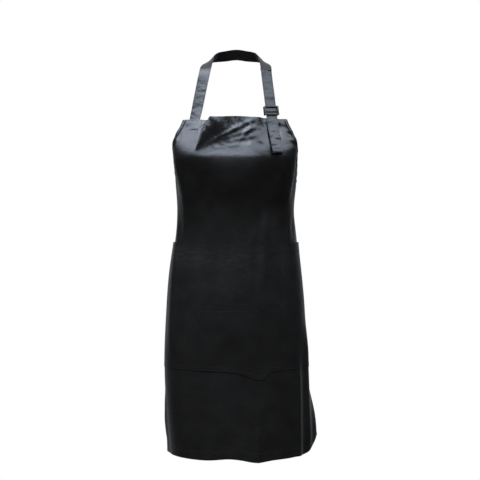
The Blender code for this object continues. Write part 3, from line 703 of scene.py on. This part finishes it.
def build_binding(word, side):
    """A folded tape round the armhole's edge, slightly gathered by its stitches."""
    rows = spaced((BIB_TOP_Z - 0.001, WAIST_Z + 0.002), 0.0022)
    half = np.array([half_width(z) for z in rows])
    edge, out = cloth.at(side * half, rows)
    inner, _ = cloth.at(side * (half - BINDING_LEG), rows)
    inward = unit(inner - edge)
    travelled = distances(edge)
    gather = np.array([noise.noise(Vector((t * 120.0, side, 0.0))) for t in travelled])[:, None]
    face = CLOTH + 0.0003
    behind = -0.0003 - LAYER * (rows > BIB_TOP_Z - FACING_DEPTH - 0.001)[:, None]
    fold = -0.0006
    thick = 0.0007
    rise = 0.0004 * np.abs(gather)
    shoulder = fold - thick * 0.4
    profile = ((BINDING_LEG, face), (BINDING_LEG / 2, face + rise), (fold, face), (fold, behind),
               (BINDING_LEG, behind), (BINDING_LEG, behind - thick), (shoulder, behind - thick),
               (fold - thick, behind * 0.5), (fold - thick, face * 0.5), (shoulder, face + thick),
               (BINDING_LEG / 2, face + thick + rise * 1.6), (BINDING_LEG, face + thick * 0.8))
    rings = [edge + inward * across + out * up for across, up in profile]
    points = np.stack(rings, axis=1)
    count = len(profile)
    faces = tube_faces(len(rows), count)
    faces += [tuple(range(count))[::-1], tuple(range((len(rows) - 1) * count, len(rows) * count))]
    if side < 0:
        faces = [face[::-1] for face in faces]
    lengths = np.repeat(travelled[:, None], count, axis=1)
    rounds = np.repeat(np.linspace(0, 0.04, count)[None, :], len(rows), axis=0)
    uv = np.stack((rounds, lengths), axis=2)
    tape = add_mesh(f"armhole_tape_{word}", points.reshape(-1, 3), faces, TAPE, uv.reshape(-1, 2))
    finish_piece(tape, "apron", [f"armhole_binding_{word}"])


def build_hem_stitches():
    """Rows of stitches along the bib's top, the armholes and the skirt's hems."""
    top_s = spaced((-BIB_HALF_WIDTH + 0.010, BIB_HALF_WIDTH - 0.010), SEAM_STEP)
    hem_s = spaced((-SKIRT + 0.004, SKIRT - 0.004), SEAM_STEP)
    lines = [cloth_seam(s, np.full_like(s, z), CLOTH)
             for s, z in ((top_s, BIB_TOP_Z - FACING_DEPTH + 0.003), (top_s, BIB_TOP_Z - 0.003),
                          (hem_s, HEM_Z + HEM_WIDTH - 0.002))]
    for side in (-1, 1):
        rows = spaced((WAIST_Z, HEM_Z + HEM_WIDTH), SEAM_STEP)
        edge = np.full_like(rows, side * (SKIRT - SIDE_HEM_WIDTH + 0.002))
        lines.append(cloth_seam(edge, rows, CLOTH))
        rows = spaced((BIB_TOP_Z - 0.004, WAIST_Z + 0.004), SEAM_STEP)
        half = np.array([half_width(z) for z in rows])
        lines.append(cloth_seam(side * (half - BINDING_LEG + 0.0015), rows, CLOTH + 0.0013))
    finish_piece(add_thread("hem_stitches", lines), "apron")


def build_pocket_stitches():
    """Two rows at each pocket's mouth and bottom, and one at each side."""
    lines = []

    def sew(s, z, lift):
        lines.append(cloth_seam(s, z + pocket_sag(s, z), lift(s, z) + CLOTH))

    for (left, right), top, lift in (((-REAR_SEAM, REAR_SEAM), POCKET_TOP_Z, rear_lift),
                                     (FRONT_POCKET_S, FRONT_POCKET_TOP_Z, front_lift)):
        s = spaced((left + 0.003, right - 0.003), SEAM_STEP)
        for height in (top - 0.0020, top - (HEM_WIDTH - 0.0025),
                       POCKET_BOTTOM_Z + 0.0022, POCKET_BOTTOM_Z + 0.0085):
            sew(s, np.full_like(s, height), lift)
        z = spaced((top - 0.002, POCKET_BOTTOM_Z + 0.002), SEAM_STEP)
        for edge in (left + 0.0022, right - 0.0022):
            sew(np.full_like(z, edge), z, lift)
    finish_piece(add_thread("pocket_stitches", lines), "apron")


# ---- ribbons: straps and ties
def smooth_route(points, spacing=0.0025):
    """Points along one smooth curve through the given points, evenly enough for a ribbon."""
    points = [np.array(p, dtype=float) for p in points]
    ends = [2 * points[0] - points[1]] + points + [2 * points[-1] - points[-2]]
    samples = []
    for before, start, end, after in zip(ends[:-3], ends[1:-2], ends[2:-1], ends[3:]):
        count = max(1, math.ceil(np.linalg.norm((end - start)[:3]) / spacing))
        for i in range(count):
            t = i / count
            samples.append(0.5 * (2 * start + (end - before) * t
                                  + (2 * before - 5 * start + 4 * end - after) * t * t
                                  + (3 * start - before - 3 * end + after) * t**3))
    samples.append(points[-1])
    return np.array(samples)


CRUMPLE_SIZE, FINE_CRUMPLE_SIZE, FINE_CRUMPLE_SHARE = 0.016, 0.0060, 0.45


def ribbon_surface(stations, width, crumple=0.0004, seed=0.0, columns=11, spacing=0.0025, lift=None,
                   pressed=None):
    """A crumpled ribbon along stations of centre and face direction.

    pressed is a place along the ribbon and the length round it that a slider holds flat.
    """
    samples = smooth_route([(*centre, *face) for centre, face in stations], spacing)
    centres, faces = samples[:, :3], samples[:, 3:]
    along = unit(np.gradient(centres, axis=0))
    faces = unit(faces - along * np.sum(faces * along, axis=1, keepdims=True))
    across = np.cross(faces, along)
    u, v = np.meshgrid(np.linspace(-0.5, 0.5, columns) * width, distances(centres))
    rough = wrinkles(u, v, CRUMPLE_SIZE, (0.5, 1.0), seed)
    rough += FINE_CRUMPLE_SHARE * wrinkles(u, v, FINE_CRUMPLE_SIZE, (0.7, 1.0), seed + 7.0)
    height = crumple * rough * (1.0 - 0.5 * (2 * u / width) ** 4)
    if pressed is not None:
        height = height * (1.0 - np.exp(-((v - pressed[0]) / pressed[1]) ** 2))
    if lift is not None:
        height = height + lift(u, v)
    points = centres[:, None] + across[:, None] * u[..., None] + faces[:, None] * height[..., None]
    return Surface(points, np.stack((u, v), axis=2))


def ribbon_edge_stitches(surface, thickness, inset=0.0022, width=STRAP_WIDTH):
    """Stitch lines near both edges of a ribbon, on its front."""
    rows = np.arange(0, surface.points.shape[0] - 1, 0.5)
    last = surface.points.shape[1] - 1
    lines = []
    for column in (inset / width * last, (1 - inset / width) * last):
        points, normals = surface.sample(rows, np.full_like(rows, column))
        lines.append(stitch_line(points + normals * thickness / 2, normals))
    return lines


STRAP_THICKNESS = 0.0010
BAR_OUT = 0.0033            # the slider's outer bars, in front of the strap's middle
MID_BAR_OUT = -0.0030       # and its rear bar
NECK_STRAP_S, SHOULDER_X = -0.0910, -0.0695
SHOULDER_BACK = 0.007       # the left shoulder point lies behind the right one
TAIL_LENGTH = 0.100
TAIL_BULGE = 0.011          # how far the bust pushes the tail's free end forward
SHOULDER_UP = 0.095         # shoulder point, measured up the strap from the slider


def slider_frame():
    """Origin and axes of the slider: across the strap, up the strap and out of the cloth."""
    joints = {joint["name"]: joint for joint in frame["record"]["behaviour"]["joints"]}
    across = Vector(joints["slider_tilt"]["axis"])
    up = -Vector(joints["strap_adjust"]["axis"])
    out = across.cross(up)
    return Vector(joints["slider_tilt"]["pos_m"]) - out * MID_BAR_OUT, across, up, out


SLIDER = slider_frame()


def in_frame(across=0.0, up=0.0, out=0.0):
    origin, a, u, o = SLIDER
    return origin + a * across + u * up + o * out


SLIDER_WIDTH, SLIDER_HEIGHT = 0.0340, 0.0205
RAIL_WIDTH, RAIL_PROUD, RAIL_ROUNDING = 0.0034, 0.0002, 0.0014
BAR_RADIUS, BAR_SLIMMING = 0.0013, 0.92


def build_slider():
    """Moulded three-bar slider with rounded rails; the strap runs behind its outer bars."""
    turn = Matrix((SLIDER[1], SLIDER[2], SLIDER[3])).transposed().to_4x4()
    place = Matrix.Translation(SLIDER[0]) @ turn
    high, low = BAR_OUT + BAR_RADIUS + RAIL_PROUD, MID_BAR_OUT - BAR_RADIUS - RAIL_PROUD
    cage = bmesh.new()
    for side in (-1, 1):
        middle = (side * (SLIDER_WIDTH - RAIL_WIDTH) / 2, 0.0, (high + low) / 2)
        size = Matrix.Diagonal((RAIL_WIDTH, SLIDER_HEIGHT, high - low, 1))
        made = bmesh.ops.create_cube(cage, size=1.0, matrix=Matrix.Translation(middle) @ size)
        edges = {edge for corner in made["verts"] for edge in corner.link_edges}
        bmesh.ops.bevel(cage, geom=list(edges), offset=RAIL_ROUNDING, segments=5, affect="EDGES",
                        profile=0.5)
    rise = SLIDER_HEIGHT / 2 - BAR_RADIUS
    radius = BAR_RADIUS * BAR_SLIMMING
    for up, out, flat in ((rise, BAR_OUT, 1.5), (0.0, MID_BAR_OUT, 1.0), (-rise, BAR_OUT, 1.5)):
        lie = Matrix.Translation((0, up, out)) @ Matrix.Diagonal((1, flat, 1, 1))
        bmesh.ops.create_cone(cage, cap_ends=True, segments=24, radius1=radius, radius2=radius,
                              depth=SLIDER_WIDTH - RAIL_WIDTH,
                              matrix=lie @ Matrix.Rotation(math.pi / 2, 4, "Y"))
    slider = add_mesh("slider_body", [], [], PLASTIC)
    cage.to_mesh(slider.data)
    cage.free()
    slider.data.transform(place)
    slider.data.shade_smooth()
    slider.data.set_sharp_from_angle(angle=math.radians(50))
    finish_piece(slider, "slider", ["slider"])


TAB_WIDTH = 0.021
TAB_TURN = 0.0020           # radius of its turn round the slider's rear bar
TAB_FRONT, TAB_REAR = -0.0050, -0.0060  # its two leaves, sewn behind the bib


def build_tab():
    """Folded tab, sewn behind the bib's top, that holds the slider's rear bar."""
    back, face = MID_BAR_OUT - TAB_TURN, MID_BAR_OUT + TAB_TURN
    route = [(-0.040, TAB_REAR), (-0.018, TAB_REAR), (-0.008, back - 0.0003), (0.0, back)]
    for k in range(1, 8):
        angle = math.pi * k / 8
        route.append((TAB_TURN * math.sin(angle), MID_BAR_OUT - TAB_TURN * math.cos(angle)))
    route += [(0.0, face), (-0.006, face - 0.0012)]
    route += [(up, TAB_FRONT) for up in (-0.0145, -0.020, -0.040)]
    centres = [in_frame(up=up, out=out) for up, out in route]
    stations = []
    for i, centre in enumerate(centres):
        along = (centres[min(i + 1, len(centres) - 1)] - centres[max(i - 1, 0)]).normalized()
        stations.append((centre, along.cross(SLIDER[1]) * -1))
    surface = ribbon_surface(stations, TAB_WIDTH, crumple=0.0001, spacing=0.0012)
    tab = add_sheet("slider_loop", surface, TAPE, thickness=0.0008, side=0)
    finish_piece(tab, "apron", ["slider_tab"])


BEHIND = -0.0013            # the fixed stretch runs this far behind the sliding one
FREE_FACE = (0.0, -0.80, 0.60)   # direction in which a strap faces at the shoulder
# the loop from the left shoulder to the nape, as places and face directions; the right half mirrors it
NECK_HALF = (
    ((-0.0665, -0.108, -0.0420), (-0.20, -0.52, 0.82)),
    ((-0.0625, -0.080, -0.0290), (-0.45, -0.20, 0.86)),
    ((-0.0575, -0.052, -0.0190), (-0.68, 0.12, 0.70)),
    ((-0.0455, -0.024, -0.0100), (-0.60, 0.55, 0.55)),
    ((-0.0260, -0.0065, -0.0045), (-0.32, 0.86, 0.42)),
)
NAPE = ((0.0, 0.0010, 0.0), (0.0, 0.93, 0.36))


def shoulder_points():
    right = in_frame(up=SHOULDER_UP, out=BEHIND)
    left = Vector((SHOULDER_X, right.y + SHOULDER_BACK, right.z))
    return left, right


def build_neck_strap():
    """The sewn strap and the loop round the neck, as far as the right shoulder."""
    left, right = shoulder_points()
    sewn_z = np.array((BIB_TOP_Z - FACING_DEPTH + 0.004, BIB_TOP_Z - 0.004))
    points, normals = cloth.at(np.full(2, NECK_STRAP_S), sewn_z)
    stations = [(p - n * 0.0030, n) for p, n in zip(points, normals)]
    foot = Vector(stations[-1][0])
    stations += [(foot.lerp(left, 0.28), (-0.16, -0.92, 0.36)),
                 (foot.lerp(left, 0.64) + Vector((0.0, -0.001, 0.001)), (-0.10, -0.91, 0.42)),
                 (left, FREE_FACE)]
    other = [((-c[0], c[1], c[2]), (-f[0], f[1], f[2])) for c, f in NECK_HALF[::-1]]
    stations += [*NECK_HALF, NAPE, *other, (right, FREE_FACE)]
    surface = ribbon_surface(stations, STRAP_WIDTH, crumple=0.0008, seed=3.0)
    strap = add_sheet("neck_strap", surface, TAPE, thickness=STRAP_THICKNESS, side=0)
    thread = add_thread("neck_strap_stitches", ribbon_edge_stitches(surface, STRAP_THICKNESS))
    start = left + Vector((0.0, -0.004, -0.010))
    end = left + Vector((0.0, 0.010, 0.006))
    for piece in (strap, thread):
        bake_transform(piece, "apron", "neck_loop", start=start, end=end)
    finish_piece(strap, "apron", ["strap_left_run", "neck_loop"])
    finish_piece(thread, "apron")


RUN_UPS = (SHOULDER_UP, 0.075, 0.050, 0.028, 0.012, 0.0, -0.014, -0.030, -0.050, -0.070, -0.088,
           -TAIL_LENGTH)


def tail_lift(u, v):
    """The free tail is creased crosswise and lies forward over the bust."""
    below = v - SHOULDER_UP - 0.012
    gripped = 0.0009 * np.exp(-((v - SHOULDER_UP) / 0.0024) ** 2)
    creases = 0.0036 * np.abs(wrinkles(u, v, 0.0085, (0.45, 1.0), 11.0))
    free = 0.4 * smooth_step(below / 0.015) + 0.6 * smooth_step((below - 0.028) / 0.012)
    return gripped + free * creases + TAIL_BULGE * smooth_step((below - 0.010) / 0.078)


def build_adjustable_strap():
    """The strap from the right shoulder down through the slider to its folded free end."""
    stations = []
    for up in RUN_UPS:
        behind = BEHIND * float(smooth_step((up - 0.02) / 0.05))
        stations.append((in_frame(up=up, out=behind), SLIDER[3]))
    surface = ribbon_surface(stations, STRAP_WIDTH, crumple=0.0009, seed=5.0, lift=tail_lift,
                             pressed=(SHOULDER_UP, 0.016))
    strap = add_sheet("adjustable_strap", surface, TAPE, thickness=STRAP_THICKNESS, side=0)
    fold_out = TAIL_BULGE + STRAP_THICKNESS + 0.0003
    fold = [(in_frame(up=-TAIL_LENGTH + rise, out=out), SLIDER[3])
            for rise, out in ((0.0, TAIL_BULGE + 0.0002), (0.0006, fold_out),
                              (0.006, fold_out + 0.0004), (0.013, fold_out))]
    turned = ribbon_surface(fold, STRAP_WIDTH - 0.0006, crumple=0.0003, seed=9.0, spacing=0.0015)
    end = add_sheet("strap_turned_end", turned, TAPE, thickness=STRAP_THICKNESS, side=0)
    lines = ribbon_edge_stitches(surface, STRAP_THICKNESS)
    across_end = np.linspace(0.8, turned.points.shape[1] - 1.8, 40)
    row = turned.points.shape[0] - 3.0
    points, normals = turned.sample(np.full_like(across_end, row), across_end)
    lines.append(stitch_line(points + normals * 0.0006, normals))
    thread = add_thread("adjustable_strap_stitches", lines)
    for piece in (strap, thread, end):
        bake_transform(piece, "apron", "strap_run", start=in_frame(up=0.085), end=in_frame(up=0.022))
    finish_piece(strap, "apron", ["strap_shoulder_right", "strap_adjustable_run"])
    finish_piece(end, "apron", ["strap_end_fold"])
    finish_piece(thread, "apron")


KNOT = Vector((0.0, 0.0345, WAIST_Z))
KNOT_SIZE = (0.026, 0.020, 0.024)
TIE_THICKNESS = 0.0009
TIE_DROP = 0.016            # the ties are sewn on this far below the waist
BAND_STEPS = 4.6            # from the skirt's edge to the knot; the band has points at the first three
BOW_START_X = KNOT_SIZE[0] / 2 - 0.002
# the right ear of the bow, as places (z from the waist) and face directions
BOW_EAR = (
    ((BOW_START_X, 0.031, 0.000), (0.10, -1.0, 0.0)),
    ((0.034, 0.0295, -0.003), (0.00, -1.0, 0.1)),
    ((0.062, 0.0310, -0.010), (0.15, -1.0, 0.1)),
    ((0.080, 0.0370, -0.018), (0.75, -0.75, 0.1)),
    ((0.084, 0.0440, -0.021), (1.00, 0.20, 0.0)),
    ((0.074, 0.0520, -0.017), (0.45, 0.90, 0.0)),
    ((0.050, 0.0530, -0.008), (-0.05, 1.0, 0.0)),
    ((0.030, 0.0475, -0.003), (-0.20, 1.0, 0.0)),
    ((BOW_START_X, 0.0410, 0.000), (-0.35, 1.0, 0.0)),
)
# the right tail of the bow: x, y and drop from the knot, and its sideways lean
TIE_TAIL = (
    (0.0115, 0.0, 0.0, 0.0),
    (0.0180, 0.0010, 0.045, 0.10),
    (0.0245, -0.0010, 0.100, -0.08),
    (0.0300, 0.0005, 0.186, 0.05),
)


def waist_station(angle, offset):
    """A point and face direction on the back of the waist, by its angle from the front."""
    left, right, _, back = form_at(WAIST_Z)
    width = right if angle > 0 else left
    face = Vector((math.sin(angle) / width, -math.cos(angle) / back, 0.0)).normalized()
    point = Vector((width * math.sin(angle), AXIS_Y - back * math.cos(angle), WAIST_Z))
    return point + face * offset, face


def add_tie(name, stations, width, node, body, seed):
    surface = ribbon_surface(stations, width, crumple=0.0010, seed=seed, columns=9)
    tie = add_sheet(name, surface, TAPE, thickness=TIE_THICKNESS, side=0)
    finish_piece(tie, body, [node])
    thread = add_thread(f"{name}_stitches", ribbon_edge_stitches(surface, TIE_THICKNESS, width=width))
    finish_piece(thread, body)


def band_stations(side):
    """A waist tie from where it is sewn to the skirt, round the back of the waist to the knot."""
    s = side * (SKIRT - np.array((0.030, 0.015, 0.0)))
    points, normals = cloth.at(s, np.full(3, WAIST_Z - TIE_DROP))
    stations = [(p + n * 0.0024, n) for p, n in zip(points, normals)]
    reach = abs(stations[-1][0][0]) / form_at(WAIST_Z)[1 if side > 0 else 0]
    start_angle = math.asin(min(reach, 1.0))
    for k in (1, 2, 3):
        angle = math.pi - start_angle * (1 - k / BAND_STEPS)
        point, face = waist_station(side * angle, 0.0027 + 0.0012 * k)
        point.z = WAIST_Z - TIE_DROP * (1 - k / 3)
        stations.append((point, face))
    entry = KNOT + Vector((side * (KNOT_SIZE[0] / 2 - 0.003), -KNOT_SIZE[1] * 0.30, 0.0))
    return stations + [(entry, Vector((0, 1, 0)))]


def build_ties():
    tail_top = WAIST_Z - KNOT_SIZE[2] / 2 + 0.001
    for side, word in SIDES:
        add_tie(f"waist_tie_{word}_band", band_stations(side), TIE_WIDTH, f"waist_tie_{word}", "apron",
                20.0 + side)
        ear = [((side * c[0], c[1], WAIST_Z + c[2]), (side * f[0], f[1], f[2])) for c, f in BOW_EAR]
        add_tie(f"bow_{word}_ear", ear, BOW_WIDTH, f"bow_loop_{word}", "apron", 30.0 + side)
        tail = [((side * x, KNOT.y + y, tail_top - drop), (side * lean, 1, 0))
                for x, y, drop, lean in TIE_TAIL]
        add_tie(f"tie_end_{word}", tail, TIE_WIDTH, f"tie_tail_{word}", f"tie_tail_{word}",
                40.0 + side)


def build_knot():
    """The wrapped knot: folds of cloth wound over it, pinched at both sides."""
    rounds, steps = 48, 25
    turn = np.linspace(0, 2 * math.pi, rounds, endpoint=False)
    share = np.linspace(-1, 1, steps)
    angle, across = np.meshgrid(turn, share)
    shape = (1 - np.abs(across) ** 2.6) ** 0.42
    folds = 1 + 0.07 * np.sin(across * 9.0 + 1.3 * np.sin(angle)) + 0.05 * np.sin(across * 17.0 - angle)
    y = KNOT.y + KNOT_SIZE[1] / 2 * shape * folds * np.cos(angle)
    z = KNOT.z + KNOT_SIZE[2] / 2 * shape * folds * np.sin(angle)
    points = np.stack((KNOT.x + KNOT_SIZE[0] / 2 * across, y, z), axis=2)
    uv = np.stack((angle * 0.012, across * 0.013), axis=2)
    wrap = add_mesh("bow_wrap", points.reshape(-1, 3), tube_faces(steps, rounds), TAPE, uv.reshape(-1, 2))
    cage = bmesh.new()
    cage.from_mesh(wrap.data)
    bmesh.ops.remove_doubles(cage, verts=cage.verts, dist=1e-5)
    bmesh.ops.recalc_face_normals(cage, faces=cage.faces)
    cage.to_mesh(wrap.data)
    cage.free()
    finish_piece(wrap, "apron", ["bow_knot"])


def build_bartack(name, s, z, lift, length, upright, node):
    """A dense zigzag of thread that holds a corner."""
    count = round(length / 0.00045)
    places = np.linspace(-length / 2, length / 2, count)
    sway = 0.0010 * (-1.0) ** np.arange(count)
    point, normal = cloth.at([s], [z])
    out = Vector(normal[0])
    sideways = Vector((-out.y, out.x, 0.0)).normalized()
    upwards = out.cross(sideways)
    long_way, short_way = (upwards, sideways) if upright else (sideways, upwards)
    centre = Vector(point[0]) + out * (lift + CLOTH)
    corners = [np.array(centre + long_way * a + short_way * b) for a, b in zip(places, sway)]
    lines = [(np.array(corners[:-1]), np.array(corners[1:]), np.repeat(normal, count - 1, axis=0))]
    tack = add_thread(name, lines, radius=0.00030)
    finish_piece(tack, "apron", [node])


def build_bartacks():
    strap_z = BIB_TOP_Z - FACING_DEPTH + 0.006
    build_bartack("tack_strap", NECK_STRAP_S, strap_z, 0.0, 0.022, False, "bartack_strap")
    build_bartack("tack_tab", SLIDER_S, strap_z, 0.0, 0.008, False, "bartack_tab")
    for side, word in SIDES:
        front_seam = FRONT_POCKET_S[0] if side < 0 else FRONT_POCKET_S[1]
        for pocket, seam, top, lift in (("rear", side * REAR_SEAM, POCKET_TOP_Z, rear_lift),
                                        ("front", front_seam, FRONT_POCKET_TOP_Z, front_lift)):
            s, z = np.array([seam - side * 0.003]), np.array([top - 0.006])
            build_bartack(f"tack_{pocket}_pocket_{word}", s[0], z[0], lift(s, z)[0], 0.008, True,
                          f"bartack_{pocket}_pocket_{word}")
        build_bartack(f"tack_tie_{word}", side * (SKIRT - 0.024), WAIST_Z - TIE_DROP, 0.0028, 0.018, True,
                      f"bartack_tie_{word}")



cloth = Cloth()
build_body()
build_hems()
build_pocket("rear_pocket", (-REAR_SEAM, REAR_SEAM), POCKET_TOP_Z, rear_lift, "pocket_rear")
build_pocket("front_pocket", FRONT_POCKET_S, FRONT_POCKET_TOP_Z, front_lift, "pocket_front")
for tape_side, tape_word in SIDES:
    build_binding(tape_word, tape_side)
build_hem_stitches()
build_pocket_stitches()
build_slider()
build_tab()
build_neck_strap()
build_adjustable_strap()
build_knot()
build_ties()
build_bartacks()

# ---- stage, light and camera
WHITE = (1.0, 1.0, 1.0, 1.0)
FLOOR_Z = -1.45             # a standing wearer's floor, below the nape of the neck
FLOOR_RADIUS = 0.45
FLOOR_SIDES = 128
FLOOR_TONE = 0.42           # looks white under the bright ceiling


def build_floor():
    """A round pale floor under the apron."""
    material, _, shader = new_material("pale_floor")
    set_inputs(shader, Base_Color=(FLOOR_TONE, FLOOR_TONE, FLOOR_TONE, 1.0), Roughness=0.9,
               Specular_IOR_Level=0.0, Emission_Color=WHITE, Emission_Strength=0.15)
    turns = (2 * math.pi * k / FLOOR_SIDES for k in range(FLOOR_SIDES))
    ring = [(FLOOR_RADIUS * math.cos(t), FLOOR_RADIUS * math.sin(t), FLOOR_Z) for t in turns]
    add_mesh("floor", ring, [tuple(range(FLOOR_SIDES))], material)


def add_ramp(tree, source, output, span, values):
    """A smooth step of one value between two levels."""
    ramp = add_node(tree, "ShaderNodeMapRange", [(source, output, "Value")], From_Min=span[0],
                    From_Max=span[1], To_Min=values[0], To_Max=values[1])
    ramp.interpolation_type = "SMOOTHSTEP"
    return ramp


def combine(tree, operation, first, first_output, second, second_output):
    """One number from two others."""
    result = add_node(tree, "ShaderNodeMath", [(first, first_output, 0), (second, second_output, 1)])
    result.operation = operation
    return result


def build_world():
    """White all round for the eye; the cloth sees a soft ceiling, a white back and a dim front."""
    world = bpy.data.worlds.new("studio")
    bpy.context.scene.world = world
    world.use_nodes = True
    tree = world.node_tree
    tree.nodes.clear()
    way = tree.nodes.new("ShaderNodeTexCoord")
    split = add_node(tree, "ShaderNodeSeparateXYZ", [(way, "Generated", "Vector")])
    back = add_ramp(tree, split, "Y", (0.35, 0.98), (0.014, 0.20))
    height = add_ramp(tree, split, "Z", (0.32, 0.47), (0.0, 5.6))
    front = add_ramp(tree, split, "Y", (-0.15, 0.50), (1.0, 0.06))
    across = add_ramp(tree, split, "X", (-0.60, 0.70), (1.0, 0.7))
    ceiling = combine(tree, "MULTIPLY", height, "Result", front, "Result")
    ceiling = combine(tree, "MULTIPLY", ceiling, "Value", across, "Result")
    total = combine(tree, "ADD", back, "Result", ceiling, "Value")
    room = add_node(tree, "ShaderNodeBackground", [(total, "Value", "Strength")],
                    Color=(0.93, 0.96, 1.0, 1.0))
    bright = add_node(tree, "ShaderNodeBackground", Color=WHITE, Strength=1.0)
    path = tree.nodes.new("ShaderNodeLightPath")
    mix = add_node(tree, "ShaderNodeMixShader", [(path, "Is Camera Ray", "Fac"), (room, "Background", 1),
                                                 (bright, "Background", 2)])
    add_node(tree, "ShaderNodeOutputWorld", [(mix, "Shader", "Surface")])


def add_area_light(name, place, target, size, power):
    light = bpy.data.lights.new(name, "AREA")
    light.shape = "RECTANGLE"
    light.size, light.size_y = size
    light.energy = power
    lamp = bpy.data.objects.new(name, light)
    bpy.context.scene.collection.objects.link(lamp)
    lamp.location = place
    lamp.rotation_euler = (Vector(target) - Vector(place)).to_track_quat("-Z", "Y").to_euler()
    return lamp


def build_camera():
    """The camera stands in front of the middle of the apron and looks level along +Y."""
    lens = bpy.data.cameras.new("camera")
    lens.lens = 81.8
    lens.sensor_width = 36.0
    camera = bpy.data.objects.new("camera", lens)
    bpy.context.scene.collection.objects.link(camera)
    camera.location = (0.0088, -2.57, -0.436)
    camera.rotation_euler = (math.pi / 2, 0.0, 0.0)
    bpy.context.scene.camera = camera


build_floor()
build_world()
CHEST = (0.0, -0.16, -0.22)
add_area_light("overhead_softbox", (-0.30, -1.20, 1.10), CHEST, (1.2, 1.0), 12.0)
build_camera()
bpy.context.scene.view_settings.view_transform = "Standard"
